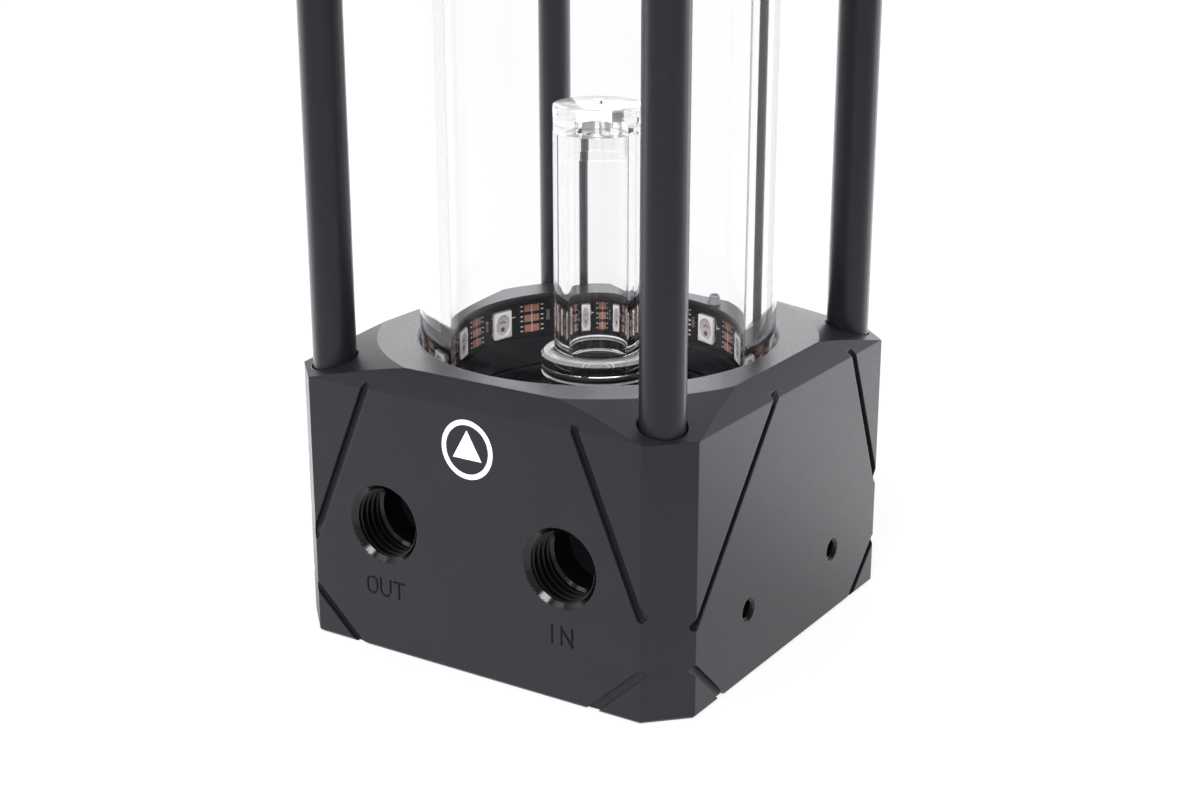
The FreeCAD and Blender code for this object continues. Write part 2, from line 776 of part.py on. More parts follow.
def volute_cover():
    """The cover over the impeller, with the eye that draws water in."""
    bottom = volute_roof
    cover = cylinder(plenum_radius - cover_clearance, bottom, bottom + cover_thickness)
    eye = cylinder(eye_radius, bottom - 1, bottom + cover_thickness + 1)
    lead_in = cone(eye_radius, eye_radius + eye_chamfer, bottom + cover_thickness - eye_chamfer,
                   bottom + cover_thickness)
    hole = cylinder(small_screw_radius + small_screw_gap, bottom - 1, bottom + cover_thickness + 1,
                    cover_screw_circle, 0)
    return cover.cut([eye, lead_in] + around(hole, cover_screw_count, cover_screw_start_angle))


def volute_cover_screws():
    """The three screws of the cover."""
    head_top = volute_roof + cover_thickness + small_screw_head_height
    screw = small_screw(head_top, cover_thickness + small_screw_bite - screw_clearance, cover_screw_circle)
    return around(screw, cover_screw_count, cover_screw_start_angle)


def flow_plate():
    """The reservoir's floor: suction slots, the riser's socket, and the covered inlet channel."""
    rim = tube_seat_radius - plate_clearance
    floor_low = plenum_top - channel_floor_drop - channel_wall + 0.4
    plate = cylinder(rim, plenum_top, flow_plate_top)
    boss = cylinder(riser_bore_radius + 3, floor_low, plenum_top + 1)
    reach = plenum_radius - 0.3
    half_rib = channel_width / 2 + channel_wall
    rib = box(0, reach, -half_rib, half_rib, floor_low, plenum_top + 1).common(
        cylinder(reach, floor_low, plenum_top + 1))
    channel_angle = math.degrees(math.atan2(-inlet_riser_back, port_offset))
    channel_low = floor_low + channel_wall - 0.4
    inner_end = plenum_radius - 1.4
    seal_floor = plate_seal_radius - plate_seal_cord - 0.2
    channel = box(0, inner_end, -channel_width / 2, channel_width / 2, channel_low, channel_low + 3.0)
    mouth = box(inner_end - 4, seal_floor - 0.3, -channel_width / 2, channel_width / 2,
                plenum_top - 0.1, plenum_top + 2.4)
    drop = box(inner_end - 4, inner_end, -channel_width / 2, channel_width / 2, channel_low, plenum_top + 1)
    plate = plate.fuse([boss, turn_copy(rib, channel_angle)])
    cuts = [turn_copy(shape, channel_angle) for shape in (channel, mouth, drop)]
    slot = arc_slot(suction_slot_inner, suction_slot_outer, floor_low - 1, flow_plate_top + 1,
                    channel_angle, suction_slot_half_angle)
    spread = 360.0 / (suction_slot_count + 1)
    cuts += [turn_copy(slot, spread * (index + 1)) for index in range(suction_slot_count)]
    cuts.append(cylinder(riser_bore_radius, channel_low, flow_plate_top + 1))
    cuts.append(cylinder(riser_collar_seat, riser_foot, flow_plate_top + 1))
    cuts.append(ring(plate_seal_radius - plate_seal_cord, rim + 1,
                     plate_seal_level - plate_seal_cord, plate_seal_level + plate_seal_cord))
    cuts.append(ring(tube_seal_radius - tube_seal_cord - 0.2, tube_seal_radius + tube_seal_cord + 0.2,
                     flow_plate_top - 2 * tube_seal_cord, flow_plate_top + 1))
    return plate.cut(cuts)


def riser_pipe():
    """The clear riser: a collared foot with two seal grooves, and the pipe that lifts the return flow."""
    groove = riser_collar_radius - riser_seal_gap
    low_seal = riser_low_seal_level
    high_seal = riser_seal_top - riser_seal_gap
    half_gap = riser_seal_gap / 2
    return turned([(riser_bore_radius, riser_foot), (riser_collar_radius, riser_foot),
                   (riser_collar_radius, low_seal - half_gap), (groove, low_seal - half_gap),
                   (groove, low_seal + half_gap), (riser_collar_radius, low_seal + half_gap),
                   (riser_collar_radius, high_seal), (groove, high_seal),
                   (groove, riser_seal_top), (riser_collar_radius, riser_seal_top),
                   (riser_collar_radius, riser_collar_top - riser_edge_chamfer),
                   (riser_collar_radius - riser_edge_chamfer, riser_collar_top),
                   (riser_outer_radius, riser_collar_top),
                   (riser_outer_radius, riser_pipe_top), (riser_bore_radius, riser_pipe_top)])


def riser_cap():
    """The clear cap on the riser: a flat lid on a ring of legs, with windows between them."""
    window_top = riser_pipe_top + riser_window_height
    lid_top = window_top + riser_lid_thickness
    spigot_outer = riser_bore_radius - riser_fit_gap
    leg_inner = spigot_outer - riser_spigot_wall
    spigot_foot = riser_pipe_top - riser_spigot_length
    cap = turned([(leg_inner, spigot_foot), (spigot_outer, spigot_foot), (spigot_outer, riser_pipe_top),
                  (riser_outer_radius, riser_pipe_top), (riser_outer_radius, lid_top - riser_lid_chamfer),
                  (riser_outer_radius - riser_lid_chamfer, lid_top), (0, lid_top), (0, window_top),
                  (leg_inner, window_top)])
    window = box(leg_inner - 1, riser_outer_radius + 1, -riser_window_width / 2, riser_window_width / 2,
                 riser_pipe_top, window_top)
    nub = cylinder(riser_nub_radius, lid_top - riser_nub_height, lid_top + riser_nub_height)
    windows = around(window, riser_window_count, 180.0 / riser_window_count)
    return cap.cut(windows).fuse(nub).removeSplitter()


def reservoir_tube():
    """The clear tube, with lightly broken edges at both ends."""
    tube = ring(tube_inner_radius, tube_outer_radius, flow_plate_top, tube_top)
    ends = [edge for edge in tube.Edges if len(edge.Vertexes) == 1]
    return tube.makeChamfer(tube_end_chamfer, ends)


def led_strip():
    """The flexible light board that lines the groove, with a gap between its ends."""
    span = led_count * led_pitch_angle
    start = led_first_angle - led_pitch_angle / 2
    return arc_slot(led_strip_inner, led_strip_outer, led_strip_bottom, led_strip_top,
                    start + span / 2, span / 2)


def led_chips():
    """The square light chips on the strip, facing the tube."""
    outer = math.sqrt(led_strip_inner ** 2 - (led_chip_width / 2) ** 2)
    chip = box(outer - led_chip_thickness, outer, -led_chip_width / 2, led_chip_width / 2,
               led_level - led_chip_height / 2, led_level + led_chip_height / 2)
    return [turn_copy(chip, led_first_angle + index * led_pitch_angle) for index in range(led_count)]


def led_pads():
    """Three copper joints between each pair of chips, where strip lengths are soldered or cut."""
    outer = math.sqrt(led_strip_inner ** 2 - (led_pad_width / 2) ** 2)
    pads = []
    for index in range(led_count - 1):
        angle = led_first_angle + (index + 0.5) * led_pitch_angle
        for row in (-1, 0, 1):
            level = led_level + row * led_pad_pitch
            pad = box(outer - led_pad_thickness, outer, -led_pad_width / 2, led_pad_width / 2,
                      level - led_pad_height / 2, level + led_pad_height / 2)
            pads.append(turn_copy(pad, angle))
    return pads


def led_grommet():
    """The small grey grommet on the plateau, where the lead of the lights comes out."""
    angle = math.radians(led_grommet_angle)
    x = led_lead_reach * math.cos(angle)
    y = led_lead_reach * math.sin(angle)
    dome = cone(led_grommet_radius, led_grommet_radius - led_grommet_taper,
                block_height, block_height + led_grommet_height, x, y)
    neck = cylinder(led_grommet_neck, led_groove_top + 0.1, block_height + 0.1, x, y)
    return dome.fuse(neck).cut(cylinder(led_lead_radius, led_groove_top, block_height + 3, x, y))


def power_grommet():
    """The rubber grommet at the back, where the pump's lead comes out."""
    start = Vector(0, half - lead_grommet_sunk, lead_level)
    inward = Vector(0, -1, 0)
    sleeve = drilled(lead_grommet_radius, half - motor_room_radius - 4 * lead_grommet_sunk, start, inward)
    flange = drilled(lead_grommet_flange, lead_grommet_flange_height - lead_grommet_sunk, start, inward)
    lead_way = drilled(lead_hole_radius, half, start + Vector(0, 1, 0), inward)
    return sleeve.fuse(flange).cut(lead_way)


def support_rod(x, y):
    """One black rod between the block and the cap, tapped at both ends."""
    rod = cylinder(rod_radius, rod_seat_level, rod_top, x, y)
    edges = [edge for edge in rod.Edges if len(edge.Vertexes) == 1]
    rod = rod.makeChamfer(rod_end_chamfer, edges)
    tap_depth = screw_bite + tap_runout
    lower_tap = cylinder(rod_screw_radius, rod_seat_level - 1, rod_seat_level + tap_depth, x, y)
    upper_tap = cylinder(rod_screw_radius, rod_top - tap_depth, rod_top + 1, x, y)
    return rod.cut([lower_tap, upper_tap])


def top_cap():
    """The black cap over the tube: the block's plan turned over, two ports, rod and screw holes."""
    cap = bevelled_body(cap_height, cap_height - block_bevel_rise, cap_top_edge_chamfer)
    cap.rotate(Vector(0, 0, 0), Vector(1, 0, 0), 180)
    cap.translate(Vector(0, 0, cap_top))
    downward = Vector(0, 0, -1)
    cuts = [cylinder(tube_seat_radius, cap_bottom - 1, tube_top),
            cone(tube_seat_radius + tube_mouth_chamfer, tube_seat_radius, cap_bottom,
                 cap_bottom + tube_mouth_chamfer),
            ring(tube_seal_radius - tube_seal_cord - 0.2, tube_seal_radius + tube_seal_cord + 0.2,
                 tube_top - 1, tube_top + 2 * tube_seal_cord)]
    for y in (-cap_port_offset, cap_port_offset):
        start = Vector(0, y, cap_top)
        cuts.append(drilled(port_thread_radius, cap_height, start, downward))
        cuts.append(countersink(port_thread_radius, port_mouth_chamfer, start, downward))
    cuts += at_corners(lambda x, y: cylinder(rod_hole_radius, cap_bottom - 1, rod_top, x, y))
    cuts += at_corners(lambda x, y: cylinder(rod_screw_radius + screw_clearance, rod_top - 1, cap_top, x, y))
    cuts += at_corners(lambda x, y: cylinder(rod_screw_head_radius + screw_clearance, upper_screw_seat,
                                             cap_top + 1, x, y))
    return cap.cut(cuts)


def port_plug(y):
    """A removable plug with a round flange and a hexagon key hole."""
    base = cap_top + plug_seal_thickness
    flange = cylinder(plug_flange_radius, base, base + plug_flange_height, 0, y)
    rim = [edge for edge in flange.Edges if len(edge.Vertexes) == 1 and edge.Vertexes[0].Point.z > base + 1]
    flange = flange.makeChamfer(plug_edge_chamfer, rim)
    stem = cylinder(port_thread_radius - plug_thread_gap, cap_top - plug_thread_length, base + 1, 0, y)
    key_floor = base + plug_flange_height - plug_hex_depth
    key = hexagon(plug_hex_width, key_floor, base + plug_flange_height + 1, 0, y)
    return flange.fuse(stem).cut(key)


def port_seal(y):
    """The flat sealing ring under a plug's flange."""
    inner = port_thread_radius + plug_seal_gap
    return ring(inner, inner + plug_seal_width, cap_top, cap_top + plug_seal_thickness, 0, y)


os.makedirs("parts", exist_ok=True)

save("pump_block", pump_block())
save("symbol_inlay", *symbol_pieces(symbol_depth))
save("base_plate", base_plate())
save("base_plate_screws", *base_plate_screws())
save("power_grommet", power_grommet())

save("separation_can", separation_can())
save("can_screws", *can_screws())
save("can_seal", o_ring(can_seal_radius, can_seal_cord, can_seal_level))
save("rotor_shaft", rotor_shaft())
save("shaft_clip", shaft_clip())
save("thrust_washer", thrust_washer())
save("rotor_bush", rotor_bush())
save("rotor_magnet", rotor_magnet())
save("impeller", impeller())
save("stator_core", stator_core())
save("stator_coils", *stator_coils())
save("control_board", control_board())
save("board_components", *board_components())
save("volute_cover", volute_cover())
save("volute_cover_screws", *volute_cover_screws())

save("flow_plate", flow_plate())
save("flow_plate_seal", o_ring(plate_seal_radius, plate_seal_cord, plate_seal_level))
save("riser_pipe", riser_pipe())
save("riser_cap", riser_cap())
save("riser_collar_seal", o_ring(riser_seal_radius, riser_seal_cord, riser_seal_top - riser_seal_gap / 2))
save("riser_socket_seal", o_ring(riser_seal_radius, riser_seal_cord, riser_low_seal_level))

save("reservoir_tube", reservoir_tube())
tube_cord = tube_seal_cord - seal_touch_gap
save("lower_tube_seal", o_ring(tube_seal_radius, tube_cord, flow_plate_top - tube_seal_cord))
save("upper_tube_seal", o_ring(tube_seal_radius, tube_cord, tube_top + tube_seal_cord))
save("led_strip", led_strip())
save("led_chips", *led_chips())
save("led_pads", *led_pads())
save("led_grommet", led_grommet())

rod_names = ("front_left", "front_right", "back_left", "back_right")
for rod_name, rod in zip(rod_names, at_corners(support_rod)):
    save("support_rod_" + rod_name, rod)
save("lower_rod_screws", *at_corners(lambda x, y: rod_screw(
    lower_screw_seat - rod_screw_head_height, rod_seat_level + screw_bite, x, y)))
save("upper_rod_screws", *at_corners(lambda x, y: rod_screw(
    upper_screw_seat + rod_screw_head_height, rod_top - screw_bite, x, y)))

save("top_cap", top_cap())
save("fill_plug", port_plug(-cap_port_offset))
save("fill_plug_seal", port_seal(-cap_port_offset))
save("spare_plug", port_plug(cap_port_offset))
save("spare_plug_seal", port_seal(cap_port_offset))
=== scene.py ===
import math

import bpy
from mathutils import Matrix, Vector


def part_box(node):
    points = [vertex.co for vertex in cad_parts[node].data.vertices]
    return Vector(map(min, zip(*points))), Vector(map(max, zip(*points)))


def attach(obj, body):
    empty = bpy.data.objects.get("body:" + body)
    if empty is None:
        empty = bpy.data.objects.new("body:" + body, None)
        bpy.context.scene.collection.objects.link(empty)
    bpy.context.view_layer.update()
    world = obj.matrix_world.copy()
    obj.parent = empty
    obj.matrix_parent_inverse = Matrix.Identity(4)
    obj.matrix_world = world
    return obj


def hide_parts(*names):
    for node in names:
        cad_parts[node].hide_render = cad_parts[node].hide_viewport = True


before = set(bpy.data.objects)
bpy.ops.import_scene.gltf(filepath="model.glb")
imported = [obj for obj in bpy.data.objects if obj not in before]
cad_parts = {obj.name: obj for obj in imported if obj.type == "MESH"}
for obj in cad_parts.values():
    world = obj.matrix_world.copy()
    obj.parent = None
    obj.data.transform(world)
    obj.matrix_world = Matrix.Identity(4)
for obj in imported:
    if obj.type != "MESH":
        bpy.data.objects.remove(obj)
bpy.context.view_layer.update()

# %% [markdown]
# This lesson dresses a coolant pump with a clear tube reservoir on top of it.
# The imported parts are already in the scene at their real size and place, so nothing here moves
# them. What is added is the finish of every surface, and the fine forms that a light shows up:
# the clear walls, the threads, the small lamps on their strip, the broken edges of the block.
# Everything is in metres. MM lets the sizes be written in millimetres, as on a drawing.

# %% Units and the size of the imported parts
MM = 0.001


# %% [markdown]
# The camera stands where the photographer stood: to the right of the front face and above it.
# Its place could be found by eye, but the block is a known square, so four of its corners were
# enough to work out the place, the direction and the lens. The focal length was found in pixels
# of a picture 1200 wide, and is turned into a lens for a 36 mm sensor here.

# %% Camera
PICTURE_WIDTH = 1200
FOCAL_LENGTH_IN_PIXELS = 1954.2
SENSOR_WIDTH = 36.0
CAMERA_PLACE = Vector((171.8, -268.8, 140.5)) * MM
CAMERA_DOWN = math.radians(18.06)
CAMERA_TURN = math.radians(32.53)

bpy.ops.object.camera_add(location=CAMERA_PLACE,
                          rotation=(math.radians(90) - CAMERA_DOWN, 0, CAMERA_TURN))
camera = bpy.context.object
camera.name = "product_camera"
camera.data.sensor_width = SENSOR_WIDTH
camera.data.lens = SENSOR_WIDTH * FOCAL_LENGTH_IN_PIXELS / PICTURE_WIDTH
camera.data.clip_start = 0.01
bpy.context.scene.camera = camera
print("lens", round(camera.data.lens, 2), "mm")

# %% [markdown]
# A material is a small net of nodes. One function adds a node with its settings and its links, so
# each finish below reads as a short list. Colours are written as the sRGB codes a paint program
# shows, and one function turns them into the linear values that the renderer wants.

# %% Helpers for materials
NOISE_LOW = 0.3
NOISE_HIGH = 0.7


def linear(code):
    """An sRGB hex code as linear red, green, blue and alpha."""
    channels = [int(code[start:start + 2], 16) / 255 for start in (1, 3, 5)]
    return [c / 12.92 if c <= 0.04045 else ((c + 0.055) / 1.055) ** 2.4 for c in channels] + [1.0]


def add_node(material, kind, values=None, links=None, **settings):
    """Adds a node. values go to its sockets, links join other nodes' outputs to its sockets."""
    node = material.node_tree.nodes.new(kind)
    for name, value in settings.items():
        setattr(node, name, value)
    for socket, value in (values or {}).items():
        node.inputs[socket].default_value = value
    for socket, output in (links or {}).items():
        material.node_tree.links.new(output, node.inputs[socket])
    return node


def new_finish(name, **values):
    """A material with one Principled shader, and that shader's sockets set."""
    material = bpy.data.materials.new(name)
    material.use_nodes = True
    shader = material.node_tree.nodes["Principled BSDF"]
    for socket, value in values.items():
        shader.inputs[socket.replace("_", " ")].default_value = value
    return material, shader


def join(material, output, socket):
    """Links an output to a socket of the same material."""
    material.node_tree.links.new(output, socket)


def object_place(material):
    """The place of each point in metres, which is the same in every view and pose."""
    return add_node(material, "ShaderNodeTexCoord").outputs["Object"]


def noise(material, grain, detail=2.0, stretch=(1, 1, 1)):
    """A cloudy pattern whose patches are about grain millimetres across."""
    mapping = add_node(material, "ShaderNodeMapping", {"Scale": stretch},
                       {"Vector": object_place(material)})
    pattern = add_node(material, "ShaderNodeTexNoise", {"Scale": 1 / (grain * MM), "Detail": detail},
                       {"Vector": mapping.outputs["Vector"]})
    return pattern.outputs["Fac"]


def spread(material, pattern, low, high):
    """Stretches a pattern's middle range to lie between two values."""
    node = add_node(material, "ShaderNodeMapRange",
                    {"From Min": NOISE_LOW, "From Max": NOISE_HIGH, "To Min": low, "To Max": high},
                    {"Value": pattern})
    return node.outputs["Result"]


def two_tone(material, pattern, dark, light):
    """Mixes two colours by a pattern."""
    node = add_node(material, "ShaderNodeMix", data_type="RGBA")
    node.inputs["A"].default_value = linear(dark)
    node.inputs["B"].default_value = linear(light)
    join(material, pattern, node.inputs["Factor"])
    return node.outputs["Result"]


def bump(material, pattern, height, shader, edge=0.0):
    """Lets a pattern raise the surface by up to height millimetres, and rounds edges by edge."""
    node = add_node(material, "ShaderNodeBump", {"Distance": height * MM}, {"Height": pattern})
    if edge:
        rounded = add_node(material, "ShaderNodeBevel", {"Radius": edge * MM}, samples=6)
        join(material, rounded.outputs["Normal"], node.inputs["Normal"])
    join(material, node.outputs["Normal"], shader.inputs["Normal"])
    return node


def grained(name, dark, light, grain, roughness, height, swing=0.05, stretch=(1, 1, 1), **values):
    """A finish of one pattern: two close tones, a swing in the gloss and a low bump."""
    material, shader = new_finish(name, **values)
    pattern = noise(material, grain, stretch=stretch)
    join(material, two_tone(material, pattern, dark, light), shader.inputs["Base Color"])
    join(material, spread(material, pattern, roughness - swing, roughness + swing),
         shader.inputs["Roughness"])
    bump(material, pattern, height, shader)
    return material


def combined(material, operation, first, second):
    """Two outputs put together by one operation."""
    node = add_node(material, "ShaderNodeMath", links={0: first, 1: second}, operation=operation)
    return node.outputs[0]


# %% [markdown]
# The block and the top cap are acetal, a black engineering plastic, milled from a bar. Milling
# leaves it satin: it is nearly black face on and turns grey where light grazes it. The gloss
# comes from the shader's own reflection, so the colour stays dark and the grey is left to the
# lamps. A fine grain in the roughness and a very low bump stand for the cutter's marks.

# %% Black milled acetal
COOL_GLOSS = linear("#f1efff")
acetal, acetal_shader = new_finish("black_acetal_milled", IOR=1.48, Specular_Tint=COOL_GLOSS)
acetal_clouds = noise(acetal, grain=9.0, detail=3.0)
acetal_grain = noise(acetal, grain=0.35, detail=2.0)
join(acetal, two_tone(acetal, acetal_clouds, "#161519", "#1b1a1f"), acetal_shader.inputs["Base Color"])
join(acetal, spread(acetal, acetal_grain, 0.36, 0.44), acetal_shader.inputs["Roughness"])
bump(acetal, acetal_grain, 0.006, acetal_shader, edge=0.3)
print(acetal.name, "has", len(acetal.node_tree.nodes), "nodes")

# %% [markdown]
# A tap leaves its cut smoother than a mill does, so the countersunk mouths of the ports are glossy
# with a sharp bright glint. Their colour is painted much darker than the block's, a painted shade
# that makes the ports near black. The ridges of the threads are painted darker still and reflect
# less, a painted shade, because deep in a port they look nearly black. The four rods are turned
# bar. The lathe's marks run round them, so the noise is squeezed along Z into thin bands.

# %% Tapped, threaded and turned acetal
shaded_tapped_finish = grained("black_acetal_tapped_painted_shade", "#060607", "#0b0b0c", 0.3, 0.13, 0.004, swing=0.03, IOR=1.48)
shaded_thread_finish = grained("black_acetal_threaded_painted_shade", "#040405", "#080809", 0.3, 0.2, 0.004, swing=0.04,
                        IOR=1.48, Specular_IOR_Level=0.3)
rod_finish = grained("black_rod_turned", "#151417", "#1a191d", 1.2, 0.32, 0.004, swing=0.04,
                     stretch=(0.1, 0.1, 3.0), IOR=1.48, Specular_Tint=COOL_GLOSS)
print(shaded_tapped_finish.name, shaded_thread_finish.name, rod_finish.name)

# %% [markdown]
# Clear acrylic is cast and polished. It bends light with an index of 1.49. The tube of the photo
# shows almost no mirror image, so where its wall is seen face on most of its light is plain
# refraction. The share of the full shader grows with the Fresnel value, which is one where the
# wall mirrors totally. The body of the acrylic absorbs a little light, more than real acrylic does,
# so the tube's sides, where a ray stays long in the wall, look faintly grey. The riser's lid and
# collar were turned and not polished: where a face lies across the axis it is frosted, with rings
# about the axis. Glass blocks lamps from what stands inside it, so for shadow and diffuse rays the
# wall is made plainly transparent.

# %% Clear cast acrylic
ACRYLIC_INDEX = 1.49
EDGE_FROM = 0.84
EDGE_TO = 0.94
TOTAL_REFLECTION = 0.97
BODY_TINT = "#c8c6d4"
RING_PITCH = 0.35
RING_HEIGHT = 0.012
FROST_FROM = 0.4
FROST_TO = 0.9


def frosted_faces(material, shader, frost):
    """Frosts the faces that lie across the axis, and cuts turning rings in them."""
    place = add_node(material, "ShaderNodeTexCoord")
    axes = add_node(material, "ShaderNodeSeparateXYZ", None, {0: place.outputs["Normal"]})
    level = add_node(material, "ShaderNodeMath", None, {0: axes.outputs["Z"]}, operation="ABSOLUTE")
    across = add_node(material, "ShaderNodeMapRange", {"From Min": FROST_FROM, "From Max": FROST_TO},
                      {"Value": level.outputs[0]})
    weight = add_node(material, "ShaderNodeMapRange", {"To Min": 1.0, "To Max": 1.0 - frost},
                      {"Value": across.outputs["Result"]})
    join(material, weight.outputs["Result"], shader.inputs["Transmission Weight"])
    flat = add_node(material, "ShaderNodeVectorMath", {1: (1, 1, 0)}, {0: place.outputs["Object"]},
                    operation="MULTIPLY")
    radius = add_node(material, "ShaderNodeVectorMath", None, {0: flat.outputs["Vector"]},
                      operation="LENGTH")
    rings = add_node(material, "ShaderNodeTexNoise", {"Scale": 1 / (RING_PITCH * MM), "Detail": 1.0},
                     {"W": radius.outputs["Value"]}, noise_dimensions="1D")
    raised = bump(material, rings.outputs["Fac"], RING_HEIGHT, shader)
    join(material, across.outputs["Result"], raised.inputs["Strength"])


def clear_finish(name, tint, painted_edge_shade, reflection, density, frost=0.0):
    """Clear plastic that bends what the camera sees and lets the lamps through."""
    material, shader = new_finish(name, Roughness=0.0, IOR=ACRYLIC_INDEX, Transmission_Weight=1.0)
    # The colour turns grey where the wall is seen at a grazing angle: a painted shade along the edges.
    facing = add_node(material, "ShaderNodeLayerWeight", {"Blend": 0.5})
    edge = add_node(material, "ShaderNodeMapRange", {"From Min": EDGE_FROM, "From Max": EDGE_TO},
                    {"Value": facing.outputs["Facing"]})
    colour = two_tone(material, edge.outputs["Result"], tint, painted_edge_shade)
    join(material, colour, shader.inputs["Base Color"])
    if frost:
        frosted_faces(material, shader, frost)
    bent = add_node(material, "ShaderNodeBsdfRefraction", {"Roughness": 0.0, "IOR": ACRYLIC_INDEX},
                    {"Color": colour})
    fresnel = add_node(material, "ShaderNodeFresnel", {"IOR": ACRYLIC_INDEX})
    share = add_node(material, "ShaderNodeMapRange",
                     {"To Min": reflection, "To Max": TOTAL_REFLECTION},
                     {"Value": fresnel.outputs[0]})
    wall = add_node(material, "ShaderNodeMixShader",
                    links={"Fac": share.outputs["Result"], 1: bent.outputs[0], 2: shader.outputs[0]})
    path = add_node(material, "ShaderNodeLightPath")
    either = combined(material, "MAXIMUM", path.outputs["Is Shadow Ray"], path.outputs["Is Diffuse Ray"])
    through = add_node(material, "ShaderNodeBsdfTransparent", {"Color": linear(tint)})
    mix = add_node(material, "ShaderNodeMixShader",
                   links={"Fac": either, 1: wall.outputs[0], 2: through.outputs[0]})
    result = material.node_tree.nodes["Material Output"]
    join(material, mix.outputs[0], result.inputs["Surface"])
    body = add_node(material, "ShaderNodeVolumeAbsorption",
                    {"Color": linear(BODY_TINT), "Density": density})
    join(material, body.outputs[0], result.inputs["Volume"])
    return material


tube_finish = clear_finish("clear_acrylic_polished", "#ffffff", "#d4d3d8", reflection=0.2, density=12.0)
riser_finish = clear_finish("clear_acrylic_turned", "#ffffff", "#e0dfe4", reflection=0.8,
                            density=3.0, frost=0.45)
print(tube_finish.name, "and", riser_finish.name, "bend light with an index of", ACRYLIC_INDEX)

# %% [markdown]
# The smaller pieces have finishes of their own. Each is named for what it is made of and how it
# was made, and each has a pattern at the size that the real one shows.

# %% Plastics, rubbers and prints
floor_finish = grained("black_acetal_polished", "#0d0d0f", "#131215", 2.0, 0.16, 0.001, IOR=1.48)
print_finish = grained("white_screen_print", "#ededf0", "#f6f6f8", 0.4, 0.5, 0.01, IOR=1.5)
rubber_finish = grained("black_nitrile_moulded", "#101011", "#18181a", 0.5, 0.55, 0.01, IOR=1.52)
grey_rubber_finish = grained("grey_silicone_moulded", "#7c7c80", "#8d8d91", 0.5, 0.5, 0.01, IOR=1.41)
pump_finish = grained("black_pps_moulded", "#171719", "#202023", 0.3, 0.45, 0.01, IOR=1.6)
impeller_finish = grained("natural_acetal_moulded", "#d9d7cf", "#e6e4dc", 0.6, 0.35, 0.006, IOR=1.48)
ceramic_finish = grained("white_alumina_ground", "#e9e4d8", "#f3efe5", 0.2, 0.25, 0.002, IOR=1.76)
carbon_finish = grained("carbon_bush_pressed", "#232325", "#303033", 0.2, 0.42, 0.006, IOR=1.8)
magnet_finish = grained("ferrite_magnet_sintered", "#2b2a2c", "#3a393b", 0.5, 0.6, 0.02, IOR=2.0)
board_finish = grained("green_solder_mask", "#173d26", "#1f4d31", 1.5, 0.35, 0.01, IOR=1.5)
chip_case_finish = grained("black_epoxy_moulded", "#151516", "#1d1d1f", 0.2, 0.5, 0.008, IOR=1.55)
strip_finish = grained("black_solder_mask", "#161519", "#1d1c20", 1.2, 0.38, 0.004, IOR=1.5)
lamp_body_finish = grained("white_ppa_moulded", "#efecea", "#f8f6f5", 0.3, 0.45, 0.003, IOR=1.55)
lamp_well_finish = grained("lamp_well_silicone_cast", "#bdb6b2", "#cfc9c5", 0.25, 0.3, 0.003, IOR=1.41)
lamp_die_finish = grained("lamp_die_sawn", "#4a3a3a", "#5f4c4a", 0.1, 0.3, 0.002, IOR=2.0)
capacitor_finish = grained("capacitor_ceramic_fired", "#6d5f58", "#7d6e66", 0.15, 0.4, 0.003, IOR=1.7)
print(len(bpy.data.materials), "materials so far")

# %% [markdown]
# The metals keep the renderer's own index and differ in tone, in gloss and in the direction of
# their marks. The copper joints are oxidised, so they are metal only in part.

# %% Metals
METAL = {"Metallic": 1.0, "swing": 0.06}
steel_finish = grained("black_oxide_steel", "#39393c", "#454549", 0.4, 0.36, 0.003, **METAL)
aluminium_finish = grained("aluminium_milled", "#a9abae", "#b9bbbe", 0.8, 0.34, 0.004,
                           stretch=(6, 0.2, 1), **METAL)
lamination_finish = grained("steel_laminations", "#6f7175", "#8d8f93", 0.5, 0.4, 0.05,
                            stretch=(0.05, 0.05, 1), **METAL)
solder_finish = grained("tin_solder_reflowed", "#c9c9cc", "#e4e4e6", 0.3, 0.3, 0.004, **METAL)
copper_finish = grained("enamelled_copper_wire", "#9c4a22", "#c06a35", 0.45, 0.3, 0.06,
                        stretch=(1, 1, 0.1), **METAL)
pad_finish = grained("copper_pads_oxidised", "#c4836d", "#d2987f", 0.5, 0.45, 0.004, Metallic=0.35)
print(steel_finish.name, aluminium_finish.name, pad_finish.name)

# %% [markdown]
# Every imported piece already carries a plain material, named after its slot in the record. The
# slot's name chooses the finish that takes its place.

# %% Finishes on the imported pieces
FINISHES = {
    "black_acetal": acetal,
    "black_rod": rod_finish,
    "white_print": print_finish,
    "plate_aluminium": aluminium_finish,
    "screw_steel": steel_finish,
    "black_rubber": rubber_finish,
    "grey_rubber": grey_rubber_finish,
    "pump_plastic": pump_finish,
    "impeller_plastic": impeller_finish,
    "ceramic": ceramic_finish,
    "carbon_bush": carbon_finish,
    "ferrite_magnet": magnet_finish,
    "lamination_steel": lamination_finish,
    "copper_winding": copper_finish,
    "circuit_board": board_finish,
    "board_part": chip_case_finish,
    "floor_plastic": floor_finish,
    "clear_acrylic": tube_finish,
    "light_board": strip_finish,
    "light_chip": lamp_body_finish,
    "copper_pad": pad_finish,
}
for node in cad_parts.values():
    node.data.materials[0] = FINISHES[node.data.materials[0].name]
print(len(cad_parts), "packed pieces in", len(FINISHES), "finishes")
